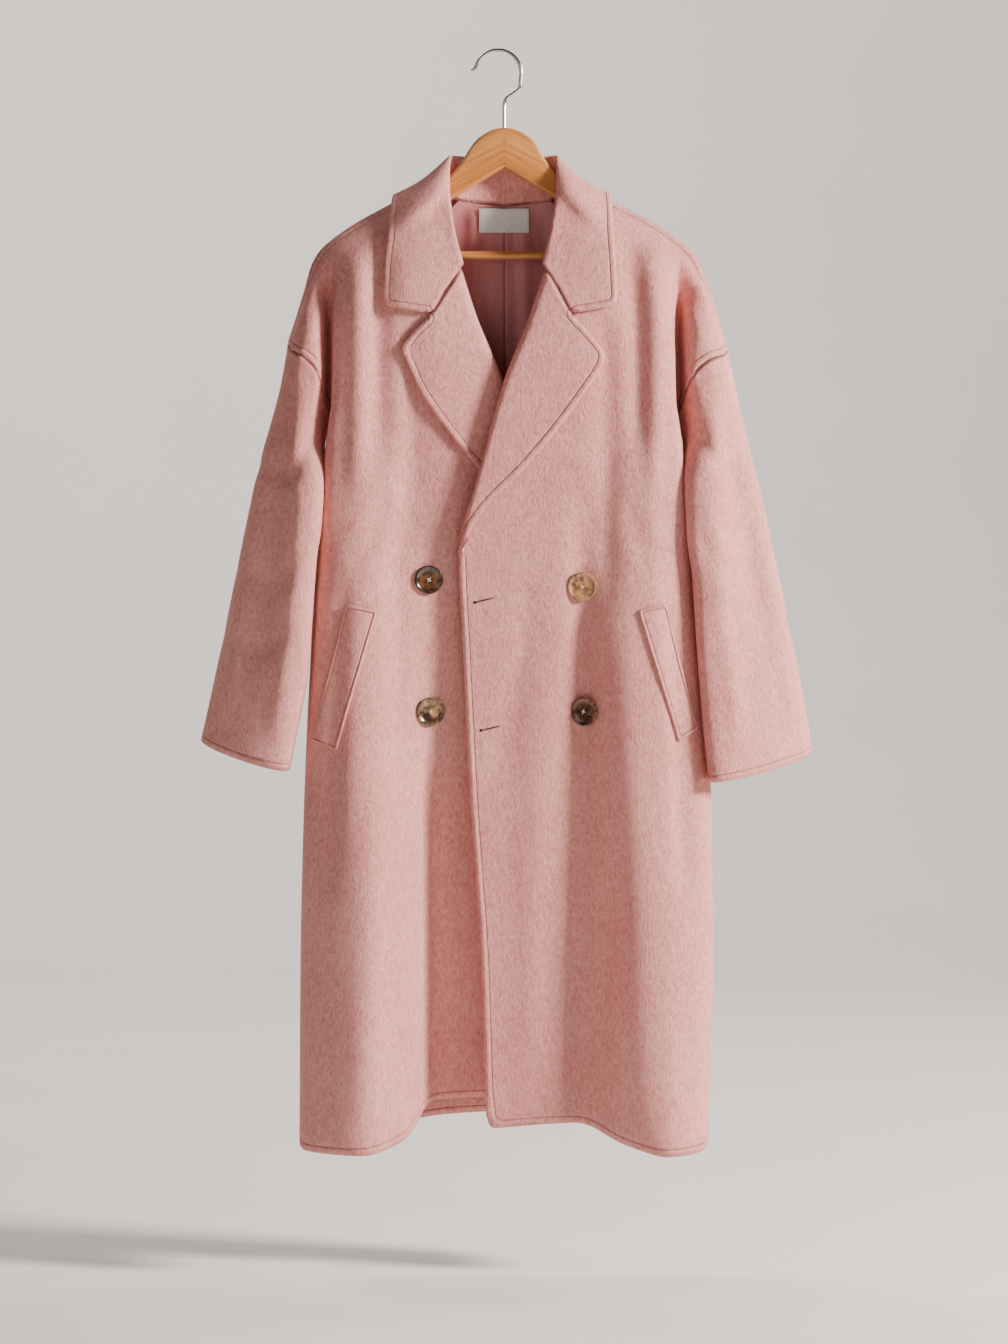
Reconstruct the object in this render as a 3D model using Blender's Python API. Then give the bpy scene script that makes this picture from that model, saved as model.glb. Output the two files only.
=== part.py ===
"""A double-breasted wool coat with dropped shoulders, hung open at the neck on a wooden hanger.

Metres, +Z up. The coat faces -Y and its back is towards +Y. The origin is the inside of the hook's
crown, where the hanger hangs. "left" and "right" are the wearer's, so left is at +X.
"""

import math

import bmesh
import bpy
import numpy as np
from mathutils import Vector
from mathutils.bvhtree import BVHTree

MM = 0.001

# ---- driving dimensions, in millimetres ----
CENTRE_X = 4.5  # middle of the hanger and the coat
CLOTH = 2.5  # thickness of the brushed wool
SATIN = 1.0  # thickness of the lining and label
SEAM_GAP = 0.3  # pieces stand this far apart at a seam
LAPEL_LIFT = 6.0  # from the front's middle surface to the lapel's
COLLAR_LIFT = 7.5  # from the front's middle surface to the collar's fall
WELT_LIFT = CLOTH + 1.0  # the welt stands this far out from the front, middle to middle
BUTTON_DIAMETER = 34.0
BUTTON_THICK = 4.5
BUTTON_RINGS = 20  # facets round a button
BUTTON_HOLE_SIZE = 1.8  # across one of its four holes
BUTTON_HOLE_AT = 2.3  # each hole's distance from the middle, both ways

# The hanger: a steel hook bent from one wire, two wooden arms in one, and a round trouser bar.
HOOK_WIRE = 4.6
HOOK_CENTRE = (-3.0, -25.6)  # of the hook's round part
HOOK_RADIUS = 27.9  # to the middle of the wire
HOOK_ARC = (176, -12)  # degrees, from the free tip over the crown
HOOK_LIP = ((-35.5, -22.0), (-31.2, -20.5))  # the free tip turns outwards
HOOK_BEND = ((23.2, -42), (15.2, -49.5), (7.6, -55), (4.5, -63), (4.5, -75))
SHANK_FOOT = -104.0
BAR_DIAMETER = 10.0
BAR_REACH = 196.0  # from the middle to the bar's end, let into the arm
BAR_LET_IN = 150.0  # the bore for it starts this far out, inside the wood's lower edge
BAR_HIGH = -243.8
ARM_THICK = 11.0
ARM_ROUND = 5.0  # the wood's edges are rounded over
ARM_TIP = 210.0  # beyond this the arms are thinner

STATIONS = ("seam", "cap", "wall_out", "fold", "wall_in", "lip", "crest", "slope", "valley", "edge")
# How many strips of cloth lie between one station and the next.
STATION_STEPS = (1, 1, 2, 2, 2, 3, 2, 3, 4)
# Where each section lies down the side of the coat, from the hem up, and the rows between sections.
ROW_STEPS = (2, 2, 2, 1, 1, 2, 2, 2, 2, 2, 2)


def height(*levels):
    """The heights of a section's ten stations, from a few: one for all, or one for each."""
    return levels * len(STATIONS) if len(levels) == 1 else levels


# Sections of the fronts, from the hem to the shoulder seam. At each station the cloth lies "out" from the
# coat's middle and "forward" of the hanger, and "high" above the origin (negative: below), in millimetres.
#   seam  cap  wall_out  fold  wall_in  lip  crest  slope  valley  edge
LEFT_FRONT = (
    # hem
    dict(
        out=(214, 223, 233, 239, 242, 236, 192, 145, 84, -21),
        forward=(-14, -12, -6, 8, 30, 64, 96, 78, 44, 44),
        high=(-1283, -1283, -1284, -1288, -1297, -1309, -1314, -1303, -1280, -1287),
    ),
    dict(
        out=(214, 224.4, 236.4, 244.4, 248.2, 241, 190, 143, 82, -27),
        forward=(-14, -12, -6, 8, 28, 58, 86, 72, 44, 42),
        high=height(-1090),
    ),
    dict(
        out=(212, 222.3, 234.6, 242.6, 246.4, 239, 184.6, 138, 78, -40),
        forward=(-14, -12, -6, 6, 24, 52, 76, 66, 45, 42),
        high=height(-900),
    ),
    dict(
        out=(205, 214, 224, 230, 232.5, 225, 178, 133, 76, -50),
        forward=(-14, -12, -7, 3, 17, 41, 66, 60, 48, 46),
        high=height(-700),
    ),
    # where the lapel starts to turn over
    dict(
        out=(200, 208, 216, 222, 224, 216, 174, 130, 78, -54.5),
        forward=(-14, -12, -7, 2, 15, 38, 60, 56, 50, 50),
        high=height(-606),
    ),
    dict(
        out=(197, 201.4, 206, 210, 212.4, 207.6, 172, 128, 78, -29),
        forward=(-13, -12, -7, 2, 17, 41, 54, 53, 51, 52),
        high=height(-508),
    ),
    # the underarm
    dict(
        out=(205.5, 205.8, 205.8, 205.5, 204.8, 202.5, 168, 126, 84, -0.5),
        forward=(-9, -8, -6, -1, 14, 38, 48, 49, 48, 48),
        high=(-446, -445, -444, -442, -438, -432, -422, -414, -408, -401),
    ),
    dict(
        out=(216, 215, 214, 209.5, 205, 201, 166, 126, 90, 29),
        forward=(14, 8, -1, -5, 6, 34, 43, 44, 44, 43),
        high=(-412, -407, -400, -391, -381, -368, -352, -340, -332, -325),
    ),
    # the collar notch
    dict(
        out=(226, 221, 216, 210, 204.5, 199, 165, 126, 92, 49),
        forward=(38, 32, 12, -6, 6, 30, 38, 38, 37, 36),
        high=(-388, -379, -367, -350, -336, -320, -294, -280, -272, -265),
    ),
    dict(
        out=(244, 235, 223, 213, 206, 199, 168, 132, 98, 68),
        forward=(38, 38, 24, 2, 6, 22, 28, 28, 27, 25),
        high=(-372, -346, -318, -298, -286, -270, -246, -231, -220, -212),
    ),
    dict(
        out=(262, 252, 238, 226, 215, 202, 172, 138, 105, 76),
        forward=(26, 26, 20, 12, 11, 14, 16, 17, 18, 18),
        high=(-365, -334, -300, -277, -258, -244, -225, -209, -193, -179),
    ),
    # the shoulder seam
    dict(
        out=(267, 257, 244, 235, 224, 208, 177, 143, 108, 80),
        forward=(1, 1, 1, 1, 1, 1, 1, 1, 1, 1),
        high=(-358, -322, -283, -258, -240, -226, -205, -187, -168, -152),
    ),
)

#   seam  cap  wall_out  fold  wall_in  lip  crest  slope  valley  edge
RIGHT_FRONT = (
    # hem
    dict(
        out=(213, 222, 232, 239, 243, 238, 169, 121, 78, -36),
        forward=(-14, -12, -6, 8, 30, 62, 102, 70, 8, 4),
        high=(-1290, -1290, -1291, -1295, -1303, -1309, -1312, -1299, -1256, -1251),
    ),
    dict(
        out=(211, 221, 231, 238, 242, 236, 170, 123, 81, -40),
        forward=(-14, -12, -6, 8, 28, 56, 91, 64, 14, 10),
        high=height(-1090),
    ),
    dict(
        out=(207, 217, 227, 234, 238, 232, 172, 126, 83, -45),
        forward=(-14, -12, -6, 6, 24, 50, 79, 59, 22, 16),
        high=height(-900),
    ),
    dict(
        out=(202, 210, 219, 226, 229, 223, 173, 127, 85, -50),
        forward=(-14, -12, -7, 4, 20, 46, 67, 53.5, 32, 22),
        high=height(-700),
    ),
    # where the lapel starts to turn over
    dict(
        out=(199, 206, 214.5, 221, 223.5, 216.5, 172, 126, 85, -54.5),
        forward=(-14, -12, -7, 3, 18, 43, 60, 50.5, 38.5, 27),
        high=height(-606),
    ),
    dict(
        out=(196, 200, 206, 211.5, 214.5, 209, 171, 126, 82, -29),
        forward=(-13, -12, -7, 2, 17, 41, 54, 48, 40, 30),
        high=height(-508),
    ),
    # the underarm
    dict(
        out=(205.5, 205.8, 206, 206, 206, 204, 168, 126, 84, 0),
        forward=(-9, -8, -6, -1, 14, 38, 47, 45, 40, 30),
        high=(-446, -445, -444, -442, -438, -432, -422, -414, -407, -400),
    ),
    dict(
        out=(216, 215, 214, 210.5, 206.5, 202, 166, 126, 90, 32),
        forward=(14, 8, -1, -5, 6, 34, 43, 43, 41, 34),
        high=(-412, -407, -400, -391, -381, -368, -352, -340, -332, -325),
    ),
    # the collar notch
    dict(
        out=(222, 219, 216, 211, 206.5, 201, 165, 126, 92, 52),
        forward=(38, 32, 12, -6, 6, 30, 38, 38, 37, 34),
        high=(-388, -379, -367, -350, -336, -320, -294, -280, -271, -263),
    ),
    dict(
        out=(239, 231, 221, 213, 206.5, 199, 168, 132, 98, 68),
        forward=(38, 38, 24, 2, 6, 22, 28, 28, 27, 25),
        high=(-369, -344, -318, -298, -286, -270, -246, -231, -220, -212),
    ),
    dict(
        out=(254, 244, 231, 221, 212, 201, 172, 138, 105, 76),
        forward=(26, 26, 20, 12, 11, 14, 16, 17, 18, 18),
        high=(-359, -330, -300, -277, -258, -244, -226, -210, -193, -179),
    ),
    # the shoulder seam
    dict(
        out=(259, 248.5, 238, 231, 221, 206, 177, 143, 108, 80),
        forward=(1, 1, 1, 1, 1, 1, 1, 1, 1, 1),
        high=(-350, -318, -283, -258, -240, -226, -206, -187, -168, -152),
    ),
)

# The back hangs nearly flat. Its stations from the side seam to the middle: a share of the seam's "out",
# how far "behind" the hanger, and the "rise" above the seam. One row for each section of the fronts but
# the last, which is the shoulder seam itself.
BACK_STEPS = (5, 2, 2, 2)
BACK = (
    dict(share=(1, 0.83, 0.56, 0.3, 0), behind=(14, 27, 20, 27, 22), rise=(0, 2, 6, 12, 14)),
    dict(share=(1, 0.83, 0.56, 0.3, 0), behind=(14, 27, 20, 27, 22), rise=(0, 0, 0, 0, 0)),
    dict(share=(1, 0.83, 0.56, 0.3, 0), behind=(14, 26, 20, 26, 22), rise=(0, 0, 0, 0, 0)),
    dict(share=(1, 0.83, 0.56, 0.3, 0), behind=(14, 26, 21, 25, 22), rise=(0, 0, 0, 0, 0)),
    dict(share=(1, 0.84, 0.57, 0.3, 0), behind=(14, 25, 22, 25, 22), rise=(0, 0, 0, 0, 0)),
    dict(share=(1, 0.85, 0.58, 0.3, 0), behind=(13, 25, 23, 25, 23), rise=(0, 0, 0, 0, 0)),
    dict(share=(1, 0.86, 0.6, 0.3, 0), behind=(9, 24, 24, 26, 25), rise=(0, 10, 20, 24, 26)),
    dict(share=(1, 0.86, 0.6, 0.3, 0), behind=(20, 24, 23, 27, 26), rise=(0, 30, 60, 82, 84)),
    dict(share=(1, 0.84, 0.6, 0.32, 0), behind=(27, 20, 22, 27, 27), rise=(0, 70, 104, 128, 130)),
    dict(share=(1, 0.82, 0.59, 0.33, 0), behind=(26, 15, 19, 26, 27), rise=(0, 104, 140, 160, 160)),
    dict(share=(1, 0.82, 0.58, 0.35, 0), behind=(16, 10, 13, 19, 26), rise=(0, 122, 160, 178, 172)),
)
# The columns of the front's shoulder seam that the back's columns meet, then the back of the neck.
SHOULDER_COLUMNS = (0, 1, 2, 4, 6, 8, 11, 13, 16, 20)
NECK_BACK = ((80, 1, -152), (63, -21.5, -167), (0, -28, -178))

# The back lining that shows in the neck: half width, and how far behind the hanger, at each height.
LINING = (
    dict(half=56, behind=(13, 16.5, 18), high=(-181, -184, -186)),
    dict(half=92, behind=(16, 19, 20), high=(-215, -215, -215)),
    dict(half=140, behind=(14, 19, 21), high=(-300, -300, -300)),
    dict(half=160, behind=(15, 19, 20), high=(-420, -420, -420)),
    dict(half=165, behind=(15, 18, 19), high=(-600, -600, -600)),
)
LABEL_SIZE = (60.8, 29.2)
LABEL_CENTRE = (4.2, -200.2)

# The outer edge of each lapel: out and high, from where it turns over up to its point.
LAPEL_EDGE = {
    "left": ((-54.5, -606), (-31, -561), (29, -497), (79, -436), (106, -396), (122, -369)),
    "right": ((-54.5, -606), (-31, -561), (28, -506), (79, -443), (103, -404), (125, -359)),
}
# The lapel's top edge, from its roll to its point, through the collar notch.
LAPEL_TOP = {
    "left": ((49, -265), (65, -292.5), (81, -320.5), (96, -337), (122, -369)),
    "right": ((52, -263), (71.5, -293.5), (92, -324), (108, -339), (125, -359)),
}

# The collar, from the notch over the shoulder to the middle of the back. At each section: the foot of the
# stand, the stand, the roll, two places on the fall and its outer edge, each as out, forward and high.
#   foot  stand  roll  upper  middle  edge
COLLAR_STEPS = (1, 2, 2, 2, 3)
COLLAR_ROW_STEPS = (3, 3, 3, 3, 3)
COLLAR = (
    dict(
        out=(52.5, 49, 47, 66, 87, 140),
        forward=(29.3, 31, 38, 45, 45, 43),
        high=(-261, -260.5, -260, -288, -317.5, -309),
    ),
    dict(
        out=(71, 65, 60, 76, 100, 138),
        forward=(19.5, 20, 30, 40, 41, 37),
        high=(-210, -208, -205, -221, -246, -262),
    ),
    dict(
        out=(72.5, 69.5, 64.5, 79, 102, 134),
        forward=(9.5, 11, 16, 28, 31, 25),
        high=(-168, -165, -159, -169, -190, -214),
    ),
    dict(
        out=(76, 71, 64, 79, 100, 130),
        forward=(0, 0, 0, 0, 0, 0),
        high=(-146.5, -138, -124, -138.5, -156, -171.5),
    ),
    dict(
        out=(60, 55, 51, 60, 80, 104),
        forward=(-12.5, -11, -15, -26, -31, -31),
        high=(-163, -142, -123.5, -135, -158, -188),
    ),
    dict(
        out=(0, 0, 0, 0, 0, 0),
        forward=(-20.5, -18.5, -23, -32, -36, -37.5),
        high=(-182, -148, -123.5, -136, -162, -196),
    ),
)
# The collar sits a little towards the wearer's right: how far its outer edge is moved out.
COLLAR_SHIFT = {"left": -5.0, "right": 5.0}

# Rings of the sleeves, from just below the armhole to the cuff: the outer and inner sides as out and high,
# how far the ring reaches forward and behind the hanger, and how far forward its inner side hangs.
SLEEVE_STEPS = (2, 2, 2, 1, 1, 1, 1)
SLEEVE = {
    "left": (
        dict(outer=(276, -400), inner=(217, -474), forward=44, behind=26, turn=-2),
        dict(outer=(293, -474), inner=(218, -520), forward=45, behind=26, turn=34),
        dict(outer=(310, -552), inner=(221.5, -582), forward=42, behind=26, turn=43),
        dict(outer=(327, -632), inner=(225.5, -655), forward=40, behind=26, turn=47),
        dict(outer=(344, -708), inner=(230.5, -735), forward=40, behind=26, turn=55),
        dict(outer=(358, -775), inner=(236, -808), forward=42, behind=26, turn=58),
        dict(outer=(369.5, -840), inner=(243, -873), forward=44, behind=26, turn=60),
    ),
    "right": (
        dict(outer=(266, -394), inner=(217, -474), forward=42, behind=26, turn=0),
        dict(outer=(287, -474), inner=(217.5, -520), forward=42.5, behind=26, turn=34),
        dict(outer=(305, -560), inner=(221.5, -585), forward=41, behind=24, turn=45),
        dict(outer=(322, -640), inner=(227.5, -660), forward=40, behind=24, turn=46),
        dict(outer=(337, -708), inner=(231.5, -732), forward=40, behind=24, turn=50),
        dict(outer=(350, -768), inner=(243, -798), forward=42, behind=24, turn=48),
        dict(outer=(363, -826), inner=(256, -860), forward=44, behind=24, turn=44),
    ),
}
CUFF_DROP = 7.0  # the cuff hangs this much lower in front

# Pocket welts: their four corners on the front as out and high, from the top inner corner round.
WELTS = {
    "left": ((157.7, -671), (190, -663), (228.5, -811), (204.5, -828)),
    "right": ((151, -672), (187, -663.5), (228.5, -825), (196.5, -838.5)),
}

# Buttons: side of the coat, out and high.
BUTTONS = {
    "button_1": ("right", 90.3, -634.3),
    "button_2": ("right", 89.1, -791),
    "button_3": ("left", 92.6, -642.6),
    "button_4": ("left", 98.1, -791),
}

# The hanger's arms: out from its middle, top and bottom of the wood.
ARM_SECTIONS = (
    (0.0, -90.8, -139.6),
    (12.0, -92.6, -146.5),
    (25.0, -98.8, -154.5),
    (34.0, -106.0, -159.7),
    (43.0, -118.0, -165.0),
    (50.0, -130.5, -169.0),
    (60.0, -142.5, -175.0),
    (68.0, -152.5, -180.0),
    (78.0, -162.0, -185.5),
    (108.0, -177.5, -203.0),
    (143.0, -196.0, -224.0),
    (178.0, -215.5, -246.0),
    (200.0, -231.0, -259.0),
    (213.0, -242.0, -262.0),
    (218.5, -249.0, -258.0),
)


# ---- smooth curves through named points ----
def slopes(knots, values):
    """Slopes that keep a curve from swinging past its points, one for each knot."""
    run = np.diff(knots)[:, None]
    rise = np.diff(values, axis=0) / run
    result = np.zeros_like(values)
    result[0], result[-1] = rise[0], rise[-1]
    before, after = rise[:-1], rise[1:]
    w_before = 2 * run[1:] + run[:-1]
    w_after = run[1:] + 2 * run[:-1]
    same_way = before * after > 0
    safe_before = np.where(same_way, before, 1)
    safe_after = np.where(same_way, after, 1)
    mean = (w_before + w_after) / (w_before / safe_before + w_after / safe_after)
    result[1:-1] = np.where(same_way, mean, 0)
    return result


def through(points, steps, knots=None):
    """A smooth curve through points (n, k), with so many steps from each point to the next."""
    points = np.asarray(points, float)
    if knots is None:
        knots = spacing(points)
    tangent = slopes(knots, points)
    result = [points[0]]
    for i, count in enumerate(steps):
        run = knots[i + 1] - knots[i]
        for t in np.arange(1, count + 1) / count:
            result.append(
                (2 * t**3 - 3 * t**2 + 1) * points[i]
                + (t**3 - 2 * t**2 + t) * run * tangent[i]
                + (3 * t**2 - 2 * t**3) * points[i + 1]
                + (t**3 - t**2) * run * tangent[i + 1]
            )
    return np.array(result)


def spacing(points):
    """Distances along a row of points, as knots."""
    gaps = np.linalg.norm(np.diff(points, axis=0), axis=1)
    return np.concatenate([[0], np.cumsum(np.maximum(gaps, 0.5))])


def surface(table, row_steps, column_steps):
    """A smooth sheet through a table of points (rows, columns, 3)."""
    table = np.asarray(table, float)
    rows, columns = table.shape[:2]
    row_knots = np.mean([spacing(table[:, j]) for j in range(columns)], axis=0)
    column_knots = np.mean([spacing(table[i]) for i in range(rows)], axis=0)
    tall = through(table.reshape(rows, -1), row_steps, row_knots)
    tall = tall.reshape(len(tall), columns, 3).transpose(1, 0, 2)
    wide = through(tall.reshape(columns, -1), column_steps, column_knots)
    return wide.reshape(len(wide), -1, 3).transpose(1, 0, 2)


def section_points(section, sign):
    """A section's points in space, in millimetres."""
    out, forward, high = (np.array(section[key], float) for key in ("out", "forward", "high"))
    return np.stack([CENTRE_X + sign * out, -forward, high], axis=1)


def shrunk(grid, gap, sides):
    """The sheet with its edges drawn in by the gap, on the sides named."""
    grid = grid.copy()
    edges = {"first_row": (0, 1), "last_row": (-1, -2)}
    for side, (edge, inner) in edges.items():
        if side in sides:
            along = grid[inner] - grid[edge]
            grid[edge] += gap * along / np.linalg.norm(along, axis=1, keepdims=True)
    edges = {"first_column": (0, 1), "last_column": (-1, -2)}
    for side, (edge, inner) in edges.items():
        if side in sides:
            along = grid[:, inner] - grid[:, edge]
            grid[:, edge] += gap * along / np.linalg.norm(along, axis=1, keepdims=True)
    return grid


# ---- making objects ----
def material(name, colour, roughness, metallic=0.0):
    """A plain material, made the first time it is asked for."""
    made = bpy.data.materials.get(name)
    if made is None:
        made = bpy.data.materials.new(name)
        made.use_nodes = True
        shader = made.node_tree.nodes["Principled BSDF"]
        shader.inputs["Base Color"].default_value = (*colour, 1)
        shader.inputs["Roughness"].default_value = roughness
        shader.inputs["Metallic"].default_value = metallic
    return made


def wool():
    return material("pink_wool", (0.66, 0.37, 0.32), 0.95)


def satin():
    return material("mauve_satin", (0.28, 0.13, 0.14), 0.4)


def new_object(name, points, faces, finish):
    """A mesh object from points in millimetres, with its faces turned outwards."""
    mesh = bpy.data.meshes.new(name)
    shape = bmesh.new()
    corners = [shape.verts.new(Vector(p) * MM) for p in points]
    for face in faces:
        loop = [corners[i] for i in dict.fromkeys(face)]
        if len(loop) > 2:
            shape.faces.new(loop)
    bmesh.ops.recalc_face_normals(shape, faces=shape.faces)
    shape.to_mesh(mesh)
    shape.free()
    mesh.shade_smooth()
    mesh.set_sharp_from_angle(angle=math.radians(40))
    mesh.materials.append(finish)
    made = bpy.data.objects.new(name, mesh)
    bpy.context.collection.objects.link(made)
    return made


def grid_faces(rows, columns, start=0, around=False):
    """The four-sided faces of a grid of points, closed round on itself if around."""
    last = columns if around else columns - 1
    faces = []
    for i in range(rows - 1):
        for j in range(last):
            k = (j + 1) % columns
            a, b = start + i * columns, start + (i + 1) * columns
            faces.append((a + j, a + k, b + k, b + j))
    return faces


def normals_of(points, faces):
    """Each point's normal, the mean of its faces'."""
    points = np.asarray(points, float)
    total = np.zeros_like(points)
    for a, b, c, d in faces:
        normal = np.cross(points[c] - points[a], points[d] - points[b])
        length = np.linalg.norm(normal)
        if length > 1e-9:
            total[[a, b, c, d]] += normal / length
    return total / np.maximum(np.linalg.norm(total, axis=1, keepdims=True), 1e-9)


def wall(name, points, faces, thick, finish, seam=()):
    """A closed wall of cloth: two skins, half the thickness to each side, and a rim round every edge.
    Along a seam, given as a row of point numbers, the rim stands straight up from the ridge."""
    points = np.asarray(points, float)
    normal = normals_of(points, faces)
    for before, here, after in zip(seam[:1] + seam[:-1], seam, seam[1:] + seam[-1:]):
        upright = np.cross(points[after] - points[before], (0, 1, 0))
        upright /= np.linalg.norm(upright)
        normal[here] = upright * (1 if np.dot(upright, normal[here]) > 0 else -1)
    count = len(points)
    skins = np.concatenate([points + normal * thick / 2, points - normal * thick / 2])
    edges = set()
    for face in faces:
        ring = list(dict.fromkeys(face))
        for edge in zip(ring, ring[1:] + ring[:1]):
            if edge[::-1] in edges:
                edges.remove(edge[::-1])
            else:
                edges.add(edge)
    whole = [tuple(face) for face in faces]
    whole += [tuple(i + count for i in reversed(face)) for face in faces]
    whole += [(b, a, a + count, b + count) for a, b in sorted(edges)]
    return new_object(name, skins, whole, finish)


def sheet(name, grid, thick, finish, seam=()):
    """A wall of cloth on a grid of points."""
    rows, columns = grid.shape[:2]
    return wall(name, grid.reshape(-1, 3), grid_faces(rows, columns), thick, finish, seam)


# ---- the coat's pieces ----
def side_sign(side):
    """The wearer's left is at +X."""
    return 1 if side == "left" else -1


def front_grid(side):
    """The middle surface of one front."""
    sections = LEFT_FRONT if side == "left" else RIGHT_FRONT
    table = [section_points(section, side_sign(side)) for section in sections]
    return surface(table, ROW_STEPS, STATION_STEPS)


def tree_of(grid):
    """The sheet as something that places can be looked up on."""
    rows, columns = grid.shape[:2]
    return BVHTree.FromPolygons([Vector(p) for p in grid.reshape(-1, 3)], grid_faces(rows, columns))


def on_front(tree, x, z, lift):
    """The place that lies the lift in front of a sheet at this x and z."""
    place, normal, _, _ = tree.ray_cast(Vector((x, -400, z)), Vector((0, 1, 0)))
    if place is None:
        place, normal, _, _ = tree.find_nearest(Vector((x, -45, z)))
    if normal.y > 0:
        normal = -normal
    return np.array(place + normal * lift)


def outline_curve(points, count):
    """Evenly spaced places along a smooth outline of out and high."""
    fine = through(points, [12] * (len(points) - 1))
    along = spacing(fine)
    at = np.linspace(0, along[-1], count)
    return np.stack([np.interp(at, along, fine[:, k]) for k in range(2)], axis=1)


ROLL_ROWS = (sum(ROW_STEPS[:4]), sum(ROW_STEPS[:8]))  # the lapel turns over between these rows
ROLL_ROUND = 14.0  # the cloth is this far from the roll where the lapel lies flat
LAPEL_SPRING = 0.9  # and stands this much further off towards its outer edge


def add_lapel(side, grid, tree):
    """The front's points and faces with its lapel turned back over it, one wall round the roll."""
    sign = side_sign(side)
    rows, columns = grid.shape[:2]
    points = [tuple(p) for p in grid.reshape(-1, 3)]
    faces = grid_faces(rows, columns)
    first, last = ROLL_ROWS
    count = last - first + 1
    roll = grid[first : last + 1, -1]
    outer = outline_curve(LAPEL_EDGE[side], count)
    top = through(LAPEL_TOP[side], (2, 2, 2, 2))
    share = np.linspace(0, 1, len(top))
    strips = [[first * columns + i * columns + columns - 1 for i in range(count)]]
    for j in range(1, len(top)):
        strip = []
        for i in range(count):
            up = i / (count - 1)
            base = np.array([sign * (roll[i, 0] - CENTRE_X), roll[i, 2]])
            straight = base + (outer[i] - base) * share[j]
            bend = top[j] - (top[0] + (top[-1] - top[0]) * share[j])
            place = straight + bend * up**3
            away = np.linalg.norm(place - base)
            ease = min(1.0, away / ROLL_ROUND)
            lift = LAPEL_LIFT * math.sqrt(max(0.0, 1 - (1 - ease) ** 2))
            lift += LAPEL_SPRING * min(1.0, away / 60)
            place_3d = on_front(tree, CENTRE_X + sign * place[0], place[1], lift)
            if i == 0:
                place_3d = np.array(roll[0]) + np.array([sign * 0.6 * j, -0.9 * j, 0.0])
            strip.append(len(points))
            points.append(tuple(place_3d))
        top_place, below = np.array(points[strip[-1]]), np.array(points[strip[-2]])
        down = (below - top_place) / np.linalg.norm(below - top_place)
        points[strip[-1]] = tuple(top_place + 3 * SEAM_GAP * down)
        strips.append(strip)
    for j in range(len(strips) - 1):
        for i in range(count - 1):
            a, b = strips[j], strips[j + 1]
            faces.append((a[i], b[i], b[i + 1], a[i + 1]))
    return points, faces


def make_front(side, grid, tree):
    """One front: its panel, hanging from the shoulder seam, and its lapel in one with it."""
    grid = shrunk(grid, SEAM_GAP, ("last_row", "first_column"))
    points, faces = add_lapel(side, grid, tree)
    rows, columns = grid.shape[:2]
    shoulder = list(range((rows - 1) * columns, rows * columns))
    wall(f"front_{side}", points, faces, CLOTH, wool(), shoulder)


def armhole(grid):
    """The front's edge from the underarm up to the dropped shoulder's tip."""
    return grid[sum(ROW_STEPS[:6]) :, 0]


def back_rows(side, front):
    """One half of the back, from the side seam to the middle, meeting the front's own edges."""
    sign = side_sign(side)
    sections = LEFT_FRONT if side == "left" else RIGHT_FRONT
    table = []
    for row, section in zip(BACK, sections[:-1]):
        out = np.array(row["share"]) * section["out"][0]
        high = section["high"][0] + np.array(row["rise"], float)
        behind = np.array(row["behind"], float)
        table.append(np.stack([CENTRE_X + sign * out, behind, high], axis=1))
    neck = through(NECK_BACK, (2, 3))
    neck = np.stack([CENTRE_X + sign * neck[:, 0], -neck[:, 1], neck[:, 2]], axis=1)
    shoulder = front[-1, list(SHOULDER_COLUMNS)]
    table.append(np.array([shoulder[0], shoulder[5], shoulder[7], neck[0], neck[-1]]))
    half = surface(table, ROW_STEPS, BACK_STEPS[:3] + (5,))
    half[-1] = np.concatenate([shoulder, neck[1:]])
    below_arm = sum(ROW_STEPS[:6]) + 1
    half[:below_arm, 0] = front[:below_arm, 0]
    return half


def make_back(fronts):
    """The whole back, one panel."""
    left = back_rows("left", fronts["left"])
    right = back_rows("right", fronts["right"])
    middle = (left[:, -1:] + right[:, -1:]) / 2
    grid = np.concatenate([right[:, :-1], middle, left[:, -2::-1]], axis=1)
    grid = shrunk(grid, SEAM_GAP, ("last_row",))
    grid = shrunk(grid, 4 * SEAM_GAP, ("first_column", "last_column"))
    rows, columns = grid.shape[:2]
    top = (rows - 1) * columns
    shoulders = len(SHOULDER_COLUMNS)
    right_seam = list(range(top, top + shoulders))
    left_seam = list(range(top + columns - shoulders, top + columns))
    sheet("back", grid, CLOTH, wool(), right_seam + left_seam)
    return grid


def sleeve_ring(ring, sign, count):
    """One ring of a sleeve: from its inner side, forward round the outer side, and back."""
    outer, inner = np.array(ring["outer"], float), np.array(ring["inner"], float)
    points = []
    for i in range(count):
        angle = 2 * math.pi * i / count
        share = (1 - math.cos(angle)) / 2
        out, high = inner + (outer - inner) * share
        reach = ring["forward"] if angle < math.pi else ring["behind"]
        forward = ring["turn"] * (1 - share) ** 2 + reach * math.sin(angle)
        high -= ring.get("drop", 0) * max(0.0, math.sin(angle))
        points.append((CENTRE_X + sign * out, -forward, high))
    return points


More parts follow.
